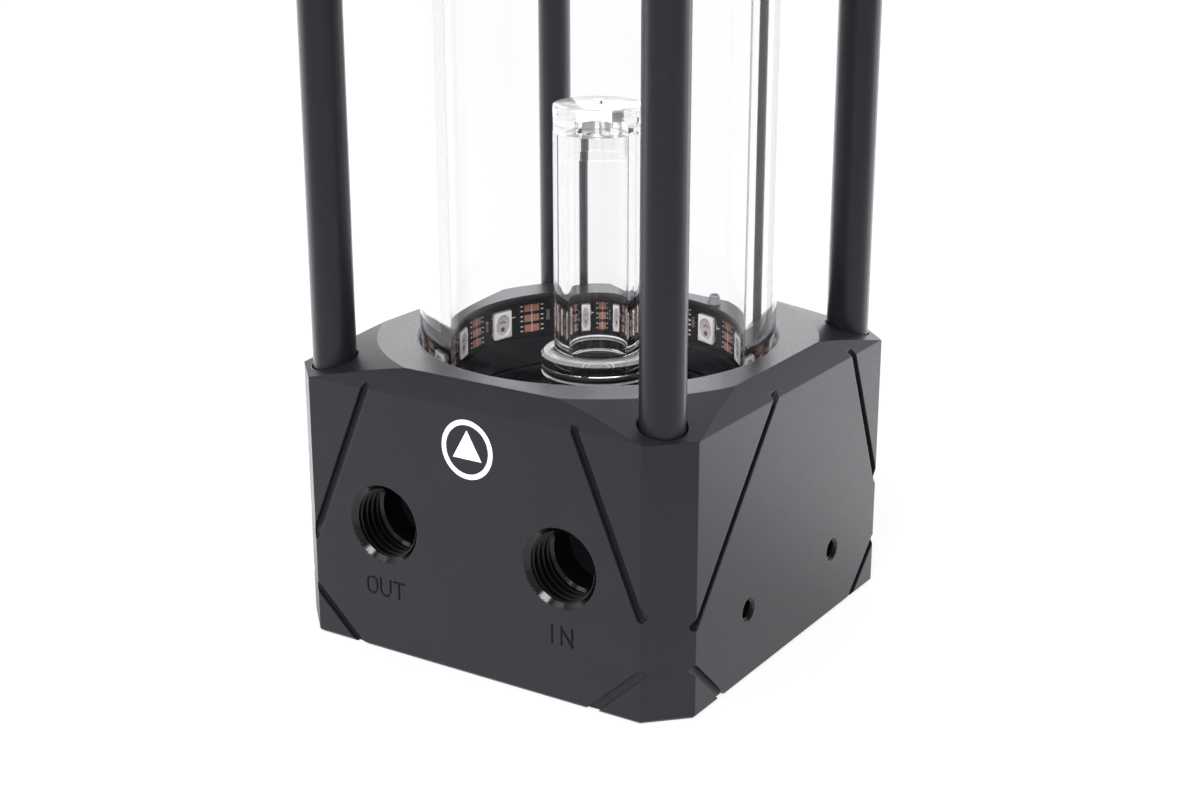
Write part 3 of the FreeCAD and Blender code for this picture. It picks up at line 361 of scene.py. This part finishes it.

# %% [markdown]
# From here on the fine pieces are made, each as it would be by hand: a primitive is added, its
# faces are extruded, inset or bevelled, and the result's size is printed. The first helper makes
# anything that a lathe would make. It starts from one circle and carries it along a profile, ring
# by ring, so the walls are as round as the number of segments asks.

# %% Helpers for modelling


def finish_piece(piece, name, material, smooth_angle=30):
    """Names a piece, points its faces outwards, smooths its round faces and gives its finish."""
    bpy.ops.object.mode_set(mode="EDIT")
    bpy.ops.mesh.select_all(action="SELECT")
    bpy.ops.mesh.remove_doubles(threshold=0.0005 * MM)
    bpy.ops.mesh.normals_make_consistent(inside=False)
    bpy.ops.object.mode_set(mode="OBJECT")
    bpy.ops.object.transform_apply(location=True, rotation=True, scale=True)
    bpy.ops.object.shade_smooth_by_angle(angle=math.radians(smooth_angle))
    piece.name = name
    piece.data.name = name
    piece.data.materials.clear()
    piece.data.materials.append(material)
    return piece


def turned(name, profile, material, segments=192, middle=(0, 0)):
    """Carries a circle along a closed profile of (radius, height) points in millimetres."""
    radius, height = profile[0]
    bpy.ops.object.select_all(action="DESELECT")
    bpy.ops.mesh.primitive_circle_add(vertices=segments, radius=radius * MM)
    piece = bpy.context.object
    piece.location = (middle[0] * MM, middle[1] * MM, height * MM)
    bpy.ops.object.mode_set(mode="EDIT")
    bpy.ops.mesh.select_all(action="SELECT")
    for next_radius, next_height in profile[1:] + profile[:1]:
        move = {"value": (0, 0, (next_height - height) * MM)}
        bpy.ops.mesh.extrude_region_move(TRANSFORM_OT_translate=move)
        growth = next_radius / radius
        bpy.ops.transform.resize(value=(growth, growth, 1))
        radius, height = next_radius, next_height
    return finish_piece(piece, name, material)


def block(name, size, place, material, bevel=0.0):
    """A box of a size in millimetres, with its edges rounded by bevel."""
    bpy.ops.object.select_all(action="DESELECT")
    bpy.ops.mesh.primitive_cube_add(size=1, location=Vector(place) * MM, scale=Vector(size) * MM)
    piece = bpy.context.object
    bpy.ops.object.transform_apply(location=False, rotation=False, scale=True)
    bpy.ops.object.mode_set(mode="EDIT")
    bpy.ops.mesh.select_all(action="SELECT")
    if bevel:
        bpy.ops.mesh.bevel(offset=bevel * MM, segments=2, affect="EDGES")
    else:
        bpy.ops.mesh.subdivide(number_cuts=1)
    return finish_piece(piece, name, material)


def joined(name, pieces):
    """Makes one piece of several."""
    bpy.ops.object.select_all(action="DESELECT")
    for piece in pieces:
        piece.select_set(True)
    bpy.context.view_layer.objects.active = pieces[0]
    if len(pieces) > 1:
        bpy.ops.object.join()
    pieces[0].name = name
    pieces[0].data.name = name
    return pieces[0]


def copies_around(name, pieces, angles):
    """Copies pieces that were made at angle zero to each angle round the Z axis, and joins them."""
    copies = []
    for angle in angles:
        bpy.ops.object.select_all(action="DESELECT")
        for piece in pieces:
            piece.select_set(True)
        bpy.context.view_layer.objects.active = pieces[0]
        bpy.ops.object.duplicate(linked=False)
        for piece in bpy.context.selected_objects:
            piece.rotation_euler.z = math.radians(angle)
            copies.append(piece)
        bpy.ops.object.transform_apply(location=True, rotation=True, scale=True)
    for piece in pieces:
        bpy.data.objects.remove(piece, do_unlink=True)
    return joined(name, copies)


def only(piece):
    """Makes one piece the selected and the active one."""
    bpy.ops.object.select_all(action="DESELECT")
    piece.select_set(True)
    bpy.context.view_layer.objects.active = piece


def cut_away(piece, cutter):
    """Takes the form of a cutter away from a piece, and removes the cutter."""
    only(piece)
    cut = piece.modifiers.new("cut", "BOOLEAN")
    cut.operation = "DIFFERENCE"
    cut.object = cutter
    cut.solver = "EXACT"
    bpy.ops.object.modifier_apply(modifier=cut.name)
    bpy.data.objects.remove(cutter, do_unlink=True)


def set_into_face(piece, turn, place):
    """Turns a piece that was made along Z, by degrees about each axis, and moves it to a place."""
    only(piece)
    piece.rotation_euler = [math.radians(angle) for angle in turn]
    piece.location = Vector(place) * MM
    bpy.ops.object.transform_apply(location=True, rotation=True, scale=True)


def told(piece):
    """Prints a piece's size and its number of faces."""
    size = [round(side / MM, 2) for side in piece.dimensions]
    print(piece.name, size, "mm,", len(piece.data.polygons), "faces")


# %% [markdown]
# The clear tube and the riser bend every ray twice at each wall, so a flat facet on them would show
# as a stripe. Both are turned anew in 256 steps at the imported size. The tube's polished ends are
# broken, and so small a bevel is drawn here because it only catches light.

# %% Clear tube
CLEAR_SEGMENTS = 256
TUBE_INNER = 25.0
TUBE_END_BREAK = 0.4
tube_low, tube_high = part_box("reservoir_tube")
tube_outer = tube_high.x / MM
tube_bottom, tube_top = tube_low.z / MM, tube_high.z / MM
clear_tube = turned("clear_reservoir_tube", [
    (TUBE_INNER, tube_bottom + TUBE_END_BREAK), (TUBE_INNER + TUBE_END_BREAK, tube_bottom),
    (tube_outer - TUBE_END_BREAK, tube_bottom), (tube_outer, tube_bottom + TUBE_END_BREAK),
    (tube_outer, tube_top - TUBE_END_BREAK), (tube_outer - TUBE_END_BREAK, tube_top),
    (TUBE_INNER + TUBE_END_BREAK, tube_top), (TUBE_INNER, tube_top - TUBE_END_BREAK)],
    tube_finish, CLEAR_SEGMENTS)
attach(clear_tube, "housing")
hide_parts("reservoir_tube")
told(clear_tube)

# %% [markdown]
# The riser is one turned piece: a foot with two grooves for its seals, a collar between them and
# the long pipe. Above the fillet at the pipe's foot stands one more ring, so that the smooth
# shading of the fillet doesn't tilt the long wall and bend the view through it.

# %% Riser pipe
RISER_BORE = 5.0
RISER_OUTER = 7.5
RISER_GROOVE = 1.1
RISER_LOW_SEAL = 34.0
RISER_HIGH_SEAL = 43.9
RISER_ROUND = 0.25
riser_low, riser_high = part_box("riser_pipe")
collar = riser_high.x / MM
collar_groove = collar - RISER_GROOVE
riser_foot, riser_top = riser_low.z / MM, riser_high.z / MM
COLLAR_TOP = 46.2
clear_riser = turned("clear_riser_pipe", [
    (RISER_BORE, riser_foot), (collar, riser_foot),
    (collar, RISER_LOW_SEAL - RISER_GROOVE / 2), (collar_groove, RISER_LOW_SEAL - RISER_GROOVE / 2),
    (collar_groove, RISER_LOW_SEAL + RISER_GROOVE / 2), (collar, RISER_LOW_SEAL + RISER_GROOVE / 2),
    (collar, RISER_HIGH_SEAL - RISER_GROOVE - RISER_ROUND),
    (collar - RISER_ROUND, RISER_HIGH_SEAL - RISER_GROOVE), (collar_groove, RISER_HIGH_SEAL - RISER_GROOVE),
    (collar_groove, RISER_HIGH_SEAL), (collar - RISER_ROUND, RISER_HIGH_SEAL),
    (collar, RISER_HIGH_SEAL + RISER_ROUND), (collar, COLLAR_TOP - 2 * RISER_ROUND),
    (collar - RISER_ROUND, COLLAR_TOP - RISER_ROUND), (collar - 2 * RISER_ROUND, COLLAR_TOP),
    (RISER_OUTER + 2 * RISER_ROUND, COLLAR_TOP), (RISER_OUTER + RISER_ROUND, COLLAR_TOP + RISER_ROUND),
    (RISER_OUTER, COLLAR_TOP + 3 * RISER_ROUND), (RISER_OUTER, COLLAR_TOP + 4 * RISER_ROUND),
    (RISER_OUTER, riser_top), (RISER_BORE, riser_top)], riser_finish, CLEAR_SEGMENTS)
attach(clear_riser, "housing")
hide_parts("riser_pipe")
told(clear_riser)

# %% [markdown]
# The cap on the riser is a lid on six legs with a window between each pair, and a thin spigot that
# fits the bore. It is turned whole, then a cutter is set at each window in turn and taken away.

# %% Riser cap
CAP_WINDOWS = 6
WINDOW_HEIGHT = 2.5
WINDOW_WIDTH = 3.2
SPIGOT_OUTER = 4.9
SPIGOT_INNER = 4.6
LEG_INNER = 3.7
LID_BREAK = 0.4
LID_BELOW_BOX = 1.1
NUB_RADIUS = 1.0
NUB_HEIGHT = 0.6
AXIS_HOLE = 0.02
CAP_SEGMENTS = 96
CUTTER_REACH = 0.9 * RISER_OUTER
cap_low, cap_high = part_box("riser_cap")
cap_foot, lid_top = cap_low.z / MM, cap_high.z / MM - LID_BELOW_BOX
window_top = riser_top + WINDOW_HEIGHT
clear_cap = turned("clear_riser_cap", [
    (SPIGOT_INNER, cap_foot), (SPIGOT_OUTER, cap_foot), (SPIGOT_OUTER, riser_top + 0.01),
    (RISER_OUTER, riser_top + 0.01), (RISER_OUTER, lid_top - 1.5 * LID_BREAK),
    (RISER_OUTER, lid_top - LID_BREAK),
    (RISER_OUTER - LID_BREAK / 3, lid_top - LID_BREAK / 3), (RISER_OUTER - LID_BREAK, lid_top),
    (NUB_RADIUS, lid_top), (NUB_RADIUS * 0.8, lid_top + NUB_HEIGHT), (AXIS_HOLE, lid_top + NUB_HEIGHT),
    (AXIS_HOLE, window_top), (LEG_INNER - LID_BREAK, window_top), (LEG_INNER, window_top - LID_BREAK),
    (LEG_INNER, riser_top + LID_BREAK), (SPIGOT_INNER, riser_top - LID_BREAK)],
    riser_finish, CAP_SEGMENTS)
for index in range(CAP_WINDOWS):
    angle = math.radians(180 / CAP_WINDOWS + index * 360 / CAP_WINDOWS)
    bpy.ops.object.select_all(action="DESELECT")
    bpy.ops.mesh.primitive_cube_add(size=1, rotation=(0, 0, angle))
    cutter = bpy.context.object
    cutter.scale = Vector((RISER_OUTER, WINDOW_WIDTH, WINDOW_HEIGHT)) * MM
    cutter.location = Vector((math.cos(angle) * CUTTER_REACH, math.sin(angle) * CUTTER_REACH,
                              (riser_top + window_top) / 2)) * MM
    cut_away(clear_cap, cutter)
only(clear_cap)
bpy.ops.object.shade_smooth_by_angle(angle=math.radians(30))
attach(clear_cap, "housing")
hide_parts("riser_cap")
told(clear_cap)

# %% [markdown]
# A pipe thread is a ridge that climbs 1.337 mm in each turn. One triangle is drawn beside the axis
# and the Screw modifier carries it round and along. Its tip stands at the thread's smallest radius
# and its back lies just inside the wall of the port. In front of the thread the mouth is
# countersunk, and behind it the wall is as narrow as the drill that came before the tap.

# %% Thread ridges
RIDGE_DEPTH = 1.05
RIDGE_WIDTH = 0.6
RIDGE_STEPS = 72


def thread(name, minor, major, pitch, turns, material):
    """A thread's ridge round the Z axis, from zero upwards."""
    deep = (major - minor) * RIDGE_DEPTH
    across = pitch * RIDGE_WIDTH
    bpy.ops.object.select_all(action="DESELECT")
    bpy.ops.mesh.primitive_circle_add(vertices=3, radius=MM,
                                      rotation=(math.radians(90), math.radians(-90), 0))
    piece = bpy.context.object
    bpy.ops.object.transform_apply(location=True, rotation=True, scale=True)
    piece.scale = (deep / 1.5, 1, across / math.sqrt(3))
    piece.location = ((minor + deep / 1.5) * MM, 0, 0)
    bpy.ops.object.transform_apply(location=True, rotation=True, scale=True)
    screw = piece.modifiers.new("climb", "SCREW")
    screw.screw_offset = pitch * MM
    screw.iterations = turns
    screw.steps = screw.render_steps = RIDGE_STEPS
    bpy.ops.object.modifier_apply(modifier=screw.name)
    bpy.ops.object.mode_set(mode="EDIT")
    bpy.ops.mesh.select_all(action="SELECT")
    bpy.ops.mesh.fill_holes(sides=0)
    return finish_piece(piece, name, material, smooth_angle=35)


print("a ridge has", RIDGE_STEPS, "steps in each turn")

# %% [markdown]
# Each port gets its ridge and, behind it, the wall with the countersunk mouth. The wall lines the
# whole bore in the darker finish, a painted shade inside the port. Both are made upright and then
# laid into the front face.

# %% Threads in the ports
THREAD_PITCH = 1.337
THREAD_MINOR = 5.72
THREAD_MAJOR = 6.58
THREAD_TURNS = 4
MOUTH_DEPTH = 0.95
MOUTH_OUTER = 6.76
TAP_DRILL = 5.9
PORT_WALL = 6.56
PORT_FLOOR = 11.9
PORT_OFFSET = 17.15
PORT_LEVEL = 22.55
FRONT_FACE = -38.0
MOUTH_INSET = 0.02
WALL_GAP = 0.15
WALL_START = 0.25
MOUTH_STEP = 0.1
THREAD_RUNOUT = 0.4
PORT_SEGMENTS = 96

thread_end = MOUTH_DEPTH + (THREAD_TURNS + 0.5) * THREAD_PITCH
for side, port in ((-1, "out"), (1, "in")):
    ridge = thread(port + "_port_thread", THREAD_MINOR, THREAD_MAJOR, THREAD_PITCH, THREAD_TURNS,
                   shaded_thread_finish)
    mouth = turned(port + "_port_mouth", [
        (MOUTH_OUTER, MOUTH_INSET), (TAP_DRILL, MOUTH_DEPTH - MOUTH_STEP),
        (PORT_WALL - WALL_GAP, MOUTH_DEPTH), (PORT_WALL - WALL_GAP, thread_end),
        (TAP_DRILL, thread_end + THREAD_RUNOUT), (TAP_DRILL, PORT_FLOOR),
        (PORT_WALL, PORT_FLOOR), (PORT_WALL, WALL_START)], shaded_tapped_finish, PORT_SEGMENTS)
    for piece, depth in ((ridge, MOUTH_DEPTH), (mouth, 0)):
        set_into_face(piece, (-90, 0, 0), (side * PORT_OFFSET, FRONT_FACE + depth, PORT_LEVEL))
        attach(piece, "housing")
        told(piece)

# %% [markdown]
# The two bracket holes take M4 screws. They are made in the same way and laid into the right face.

# %% Threads in the bracket holes
BRACKET_MINOR = 1.62
BRACKET_MAJOR = 1.98
BRACKET_PITCH = 0.7
BRACKET_TURNS = 8
BRACKET_MOUTH = 0.35
BRACKET_LIP = 0.1
BRACKET_REACH = 15.0
BRACKET_LEVEL = 12.0
BRACKET_SEGMENTS = 48
RIGHT_FACE = 38.0
for side, hand in ((-1, "near"), (1, "far")):
    # The bracket threads and mouths take the same darker finish, a painted shade in the holes.
    ridge = thread(hand + "_bracket_thread", BRACKET_MINOR, BRACKET_MAJOR, BRACKET_PITCH, BRACKET_TURNS,
                   shaded_tapped_finish)
    mouth = turned(hand + "_bracket_mouth", [
        (BRACKET_MAJOR, MOUTH_INSET), (BRACKET_MINOR + BRACKET_LIP, BRACKET_MOUTH),
        (BRACKET_MAJOR - MOUTH_INSET, BRACKET_MOUTH + MOUTH_INSET)], shaded_tapped_finish, BRACKET_SEGMENTS)
    for piece, depth in ((ridge, BRACKET_MOUTH), (mouth, 0)):
        set_into_face(piece, (0, -90, 0), (RIGHT_FACE - depth, side * BRACKET_REACH, BRACKET_LEVEL))
        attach(piece, "housing")
        told(piece)

# %% [markdown]
# The light strip carries twelve square chips, one each 29.5 degrees. Each is a white body with
# rounded edges and a round well cut into its face.

# %% Body of a chip
CHIP_COUNT = 12
CHIP_PITCH = 29.5
CHIP_FIRST = -13.7
CHIP_SIZE = 5.0
CHIP_THICKNESS = 1.5
STRIP_RADIUS = 32.4
chip_low, chip_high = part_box("led_chips")
CHIP_LEVEL = (chip_low.z + chip_high.z) / 2 / MM
chip_back = math.sqrt(STRIP_RADIUS ** 2 - (CHIP_SIZE / 2) ** 2)
chip_face = chip_back - CHIP_THICKNESS
WELL_RADIUS = 2.0
WELL_DEPTH = 0.45
WELL_SEGMENTS = 48


def disc(depth, distance):
    """A round disc that lies across the way out from the axis, at a distance from it."""
    bpy.ops.object.select_all(action="DESELECT")
    bpy.ops.mesh.primitive_cylinder_add(vertices=WELL_SEGMENTS, radius=WELL_RADIUS * MM, depth=depth * MM,
                                        location=(distance * MM, 0, CHIP_LEVEL * MM),
                                        rotation=(0, math.radians(90), 0))
    return bpy.context.object


body = block("chip_body", (CHIP_THICKNESS, CHIP_SIZE, CHIP_SIZE),
             ((chip_face + chip_back) / 2, 0, CHIP_LEVEL), lamp_body_finish, bevel=0.3)
well = disc(2 * WELL_DEPTH, chip_face)
bpy.ops.object.transform_apply(location=True, rotation=True, scale=True)
cut_away(body, well)
told(body)

# %% [markdown]
# In the well lies a pale floor, and on it sit a driver die and three tiny light dies.

# %% Well and dies of a chip
WELL_FLOOR = chip_face + WELL_DEPTH
floor_disc = disc(0.1, WELL_FLOOR - 0.04)
bpy.ops.object.mode_set(mode="EDIT")
bpy.ops.mesh.select_all(action="SELECT")
bpy.ops.mesh.inset(thickness=0.3 * MM, depth=0.02 * MM, use_individual=True)
floor_disc = finish_piece(floor_disc, "chip_well", lamp_well_finish)
DIE_PLACES = ((0.0, -0.75, 0.9), (0.55, 0.5, 0.35), (0.0, 0.75, 0.35), (-0.55, 0.5, 0.35))
dies = []
for index, (aside, lift, width) in enumerate(DIE_PLACES):
    dies.append(block("chip_die%d" % index, (0.12, width, width * 0.8),
                      (WELL_FLOOR - 0.14, aside, CHIP_LEVEL + lift), lamp_die_finish))
chip_parts = [body, floor_disc] + dies
print("a chip has", len(chip_parts), "parts")

# %% [markdown]
# Four drops of solder hold each chip. The chip and its solder are copied round the strip.

# %% Chips round the strip
SOLDER_SIZE = (0.55, 0.5, 0.85)
SOLDER_BEVEL = 0.18
SOLDER_OVERHANG = 0.1
SOLDER_SINK = 0.1
SOLDER_LIFT = 1.65
solder_aside = CHIP_SIZE / 2 + SOLDER_OVERHANG
solder = []
for aside in (-solder_aside, solder_aside):
    for lift in (-SOLDER_LIFT, SOLDER_LIFT):
        solder.append(block("chip_solder", SOLDER_SIZE,
                            (chip_back - SOLDER_SINK, aside, CHIP_LEVEL + lift),
                            solder_finish, bevel=SOLDER_BEVEL))
chip_angles = [CHIP_FIRST + CHIP_PITCH * index for index in range(CHIP_COUNT)]
chips = copies_around("strip_chips", chip_parts, chip_angles)
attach(chips, "housing")
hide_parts("led_chips")
told(chips)
joints_of_chips = copies_around("strip_solder", solder, chip_angles)
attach(joints_of_chips, "housing")
told(joints_of_chips)

# %% [markdown]
# Between the chips are three copper joints. The strip may be cut there, and a printed line across
# the joints says where.

# %% Copper joints of the light strip
PAD_WIDTH = 3.5
PAD_HEIGHT = 1.3
PAD_PITCH = 1.9
PAD_THICKNESS = 0.1
PRINT_THICKNESS = 0.03
pad_face = math.sqrt(STRIP_RADIUS ** 2 - (PAD_WIDTH / 2) ** 2)
pads = []
for row in (-1, 0, 1):
    pads.append(block("pad", (PAD_THICKNESS, PAD_WIDTH, PAD_HEIGHT),
                      (pad_face - PAD_THICKNESS / 2, 0, CHIP_LEVEL + row * PAD_PITCH), pad_finish))
pad_angles = [CHIP_FIRST + CHIP_PITCH * (index + 0.5) for index in range(CHIP_COUNT - 1)]
dressed_pads = copies_around("strip_copper_joints", pads, pad_angles)
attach(dressed_pads, "housing")
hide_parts("led_pads")
told(dressed_pads)

# %% [markdown]
# The print beside the joints is only ticks and an arrow, as on any strip. Each mark is a flat
# plate that lies just proud of the strip.

# %% Print on the light strip
LINE_SIZE = (PRINT_THICKNESS, 0.12, 5.4)
TICK_SIZE = (PRINT_THICKNESS, 0.62, 0.2)
TICK_ASIDE = 2.45
TICK_REACH = 0.3
TICK_LIFT = 0.42


def on_strip(aside, depth=PRINT_THICKNESS):
    """How far from the axis a flat mark on the strip stands, for its distance aside."""
    return math.sqrt(STRIP_RADIUS ** 2 - aside ** 2) - depth / 2


marks = [block("cutting_line", LINE_SIZE,
               (pad_face - PAD_THICKNESS - PRINT_THICKNESS / 2, 0, CHIP_LEVEL), print_finish)]
for side in (-1, 1):
    for row in (-1, 0, 1):
        for half_row in (-TICK_LIFT, TICK_LIFT):
            lift = CHIP_LEVEL + row * PAD_PITCH + half_row
            marks.append(block("tick", TICK_SIZE,
                               (on_strip(TICK_ASIDE + TICK_REACH), side * TICK_ASIDE, lift), print_finish))
dressed_marks = copies_around("strip_ticks", marks, pad_angles)
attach(dressed_marks, "housing")
told(dressed_marks)

SHAFT_SIZE = (PRINT_THICKNESS, 1.3, 0.16)
SHAFT_REACH = 0.6
HEAD_SIZE = (PRINT_THICKNESS, 0.7, 0.16)
HEAD_REACH = 0.3
HEAD_SLANT = 45
HEAD_ASIDE = 0.45
HEAD_LIFT = 0.24
ARROW_ASIDE = 3.6
ARROW_LIFT = 0.6
extras = [block("arrow_shaft", SHAFT_SIZE,
                (on_strip(ARROW_ASIDE + SHAFT_REACH), -ARROW_ASIDE, CHIP_LEVEL + ARROW_LIFT), print_finish)]
for slant in (-1, 1):
    head = block("arrow_head", HEAD_SIZE, (0, 0, 0), print_finish)
    head.rotation_euler.x = math.radians(HEAD_SLANT * slant)
    head.location = (on_strip(ARROW_ASIDE - HEAD_REACH) * MM, (-ARROW_ASIDE + HEAD_ASIDE) * MM,
                     (CHIP_LEVEL + ARROW_LIFT + HEAD_LIFT * slant) * MM)
    bpy.ops.object.transform_apply(location=True, rotation=True, scale=True)
    extras.append(head)
dressed_arrows = copies_around("strip_arrows", extras, chip_angles)
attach(dressed_arrows, "housing")
told(dressed_arrows)

# %% [markdown]
# Beside each chip sits its capacitor, a small brown block with a tinned end above and below.

# %% Capacitors of the light strip
CAPACITOR_SIZE = (0.5, 0.75, 1.0)
CAPACITOR_ASIDE = 4.55
CAPACITOR_REACH = 0.4
CAPACITOR_LIFT = 0.3
END_SIZE = (0.55, 0.78, 0.5)
END_LIFT = 0.72
capacitor_edge = CAPACITOR_ASIDE + CAPACITOR_REACH
capacitor = [block("capacitor_body", CAPACITOR_SIZE,
                   (on_strip(capacitor_edge, CAPACITOR_SIZE[0]), CAPACITOR_ASIDE,
                    CHIP_LEVEL + CAPACITOR_LIFT), capacitor_finish, bevel=0.08)]
for lift in (-END_LIFT, END_LIFT):
    capacitor.append(block("capacitor_end", END_SIZE,
                           (on_strip(capacitor_edge, END_SIZE[0]), CAPACITOR_ASIDE,
                            CHIP_LEVEL + CAPACITOR_LIFT + lift), solder_finish, bevel=0.12))
capacitors = copies_around("strip_capacitors", capacitor, chip_angles)
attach(capacitors, "housing")
told(capacitors)

# %% [markdown]
# The stage is a pale floor and a white surrounding, as in a light tent. The camera sees the
# surrounding as white, at a strength of one. Polished faces mirror it, and clear walls bend it into
# view, and both see it darker on the side where the photographer stands, because a tent is open
# there. This dark side keeps the front black and the tube free of haze. Gloss also sees the tent's
# top darker and the floor behind the object brighter. The floor is part white of its own and part
# lit, so the shadow stays soft.

# %% Floor
FLOOR_SIZE = 8.0
bpy.ops.object.select_all(action="DESELECT")
bpy.ops.mesh.primitive_plane_add(size=FLOOR_SIZE, location=(0, 0, 0))
floor = bpy.context.object
floor.name = "studio_floor"

floor_paper, floor_shader = new_finish("pale_paper_floor", Base_Color=linear("#f2f2f4"), Roughness=0.9)
SEEN_WHITE_SHARE = 0.8
OPEN_SIDE = Vector((math.sin(CAMERA_TURN), -math.cos(CAMERA_TURN), 0))
MIRRORED_OPEN_SIDE = 0.4
BENT_OPEN_SIDE = 0.15
PAPER_BACK_LIGHT = 2.5
CEILING_LIGHT = 0.4


def fading_light(material, reach_from, reach_to, near_light, far_light, place, towards=OPEN_SIDE):
    """A light that goes from near_light to far_light along a direction."""
    along = add_node(material, "ShaderNodeVectorMath", {1: towards}, {0: place},
                     operation="DOT_PRODUCT")
    node = add_node(material, "ShaderNodeMapRange",
                    {"From Min": reach_from, "From Max": reach_to, "To Min": near_light,
                     "To Max": far_light},
                    {"Value": along.outputs["Value"]}, interpolation_type="SMOOTHSTEP")
    return node.outputs["Result"]


def seen_light(material, unseen, mirrored, bent):
    """One for the camera, the mirrored light for gloss and the bent light for clear walls."""
    path = add_node(material, "ShaderNodeLightPath")
    gloss = add_node(material, "ShaderNodeMix", {"A": unseen},
                     {"Factor": path.outputs["Is Glossy Ray"], "B": mirrored})
    through = add_node(material, "ShaderNodeMix", None,
                       {"Factor": path.outputs["Is Transmission Ray"], "A": gloss.outputs["Result"],
                        "B": bent})
    seen = add_node(material, "ShaderNodeMix", {"B": 1.0},
                    {"Factor": path.outputs["Is Camera Ray"], "A": through.outputs["Result"]})
    return seen.outputs["Result"]


paper_white = add_node(floor_paper, "ShaderNodeEmission", {"Color": linear("#ffffff")})
paper_place = object_place(floor_paper)
paper_mirrored = combined(floor_paper, "MULTIPLY",
                          fading_light(floor_paper, 0.0, 0.3, 1.0, MIRRORED_OPEN_SIDE, paper_place),
                          fading_light(floor_paper, -0.045, 0.015, PAPER_BACK_LIGHT, 1.0, paper_place))
paper_bent = fading_light(floor_paper, 0.0, 0.2, 1.0, BENT_OPEN_SIDE, paper_place)
join(floor_paper, seen_light(floor_paper, 0.0, paper_mirrored, paper_bent), paper_white.inputs["Strength"])
paper_path = add_node(floor_paper, "ShaderNodeLightPath")
paper_seen = combined(floor_paper, "MAXIMUM", paper_path.outputs["Is Camera Ray"],
                      paper_path.outputs["Is Transmission Ray"])
paper_seen = combined(floor_paper, "MAXIMUM", paper_seen, paper_path.outputs["Is Glossy Ray"])
paper_share = add_node(floor_paper, "ShaderNodeMath", {1: SEEN_WHITE_SHARE}, {0: paper_seen},
                       operation="MULTIPLY")
paper_mix = add_node(floor_paper, "ShaderNodeMixShader",
                     links={"Fac": paper_share.outputs[0], 1: floor_shader.outputs[0],
                            2: paper_white.outputs[0]})
join(floor_paper, paper_mix.outputs[0], floor_paper.node_tree.nodes["Material Output"].inputs["Surface"])
floor.data.materials.append(floor_paper)
print(floor.name, FLOOR_SIZE, "m wide")

# %% [markdown]
# The surrounding fades towards the open side in the same way, but by direction instead of by
# place, and gloss sees it fade towards the top as well.

# %% Surrounding
world = bpy.data.worlds.new("light_tent")
bpy.context.scene.world = world
world.use_nodes = True
WORLD_LIGHT = 0.95
tent = world.node_tree.nodes["Background"]
tent.inputs["Color"].default_value = linear("#ffffff")
tent_direction = add_node(world, "ShaderNodeTexCoord").outputs["Generated"]
tent_mirrored = combined(world, "MULTIPLY",
                         fading_light(world, -0.2, 0.7, 1.0, MIRRORED_OPEN_SIDE, tent_direction),
                         fading_light(world, 0.4, 0.8, 1.0, CEILING_LIGHT, tent_direction, towards=(0, 0, 1)))
tent_bent = fading_light(world, -0.6, 0.1, 1.0, BENT_OPEN_SIDE, tent_direction)
join(world, seen_light(world, WORLD_LIGHT, tent_mirrored, tent_bent), tent.inputs["Strength"])
print(world.name, "lights matt faces with", WORLD_LIGHT)

# %% [markdown]
# Black plastic shows the lamps more than its own colour, so the lamps are placed by what each
# face mirrors. A broad one behind the object whitens the flat top, and one at the back right greys
# the right side. A small strong one in front sets the glints, and a broad one that gloss doesn't
# see lights the chips and the print.

# %% Lamps
AIM = Vector((0, 0, 60)) * MM


def soft_box(name, place, size, strength):
    """A square area lamp that faces the object. strength is its radiance: 1 mirrors as white."""
    bpy.ops.object.light_add(type="AREA", location=place)
    lamp = bpy.context.object
    lamp.name = name
    lamp.data.shape = "SQUARE"
    lamp.data.size = size
    lamp.data.energy = strength * math.pi * size * size
    lamp.rotation_euler = (AIM - Vector(place)).to_track_quat("-Z", "Y").to_euler()
    lamp.visible_camera = False
    return lamp


soft_box("back_box", (-0.9, 1.5, 0.75), 1.1, 2.2)
soft_box("right_box", (1.0, 1.25, 0.45), 0.9, 1.5)
front_box = soft_box("front_box", (-0.8, -1.1, 1.2), 0.8, 1.6)
front_box.visible_transmission = False
key_box = soft_box("key_box", (0.2, -1.0, 1.3), 0.5, 13.0)
key_box.visible_transmission = False
fill_box = soft_box("fill_box", (0.5, -1.2, 0.8), 1.0, 3.8)
fill_box.visible_transmission = False
fill_box.visible_glossy = False

# %% [markdown]
# A ray crosses eight clear surfaces on its way through the tube and the riser, and more where it
# is mirrored inside a wall, so the renderer is allowed more bounces than usual. The colours are
# shown as they are, with the plain view.

# %% View and bounces
CLEAR_BOUNCES = 28
scene = bpy.context.scene
scene.view_settings.view_transform = "Standard"
scene.cycles.max_bounces = CLEAR_BOUNCES
scene.cycles.transmission_bounces = CLEAR_BOUNCES
scene.cycles.transparent_max_bounces = CLEAR_BOUNCES
scene.cycles.glossy_bounces = 8
print("up to", CLEAR_BOUNCES, "bounces through clear walls")
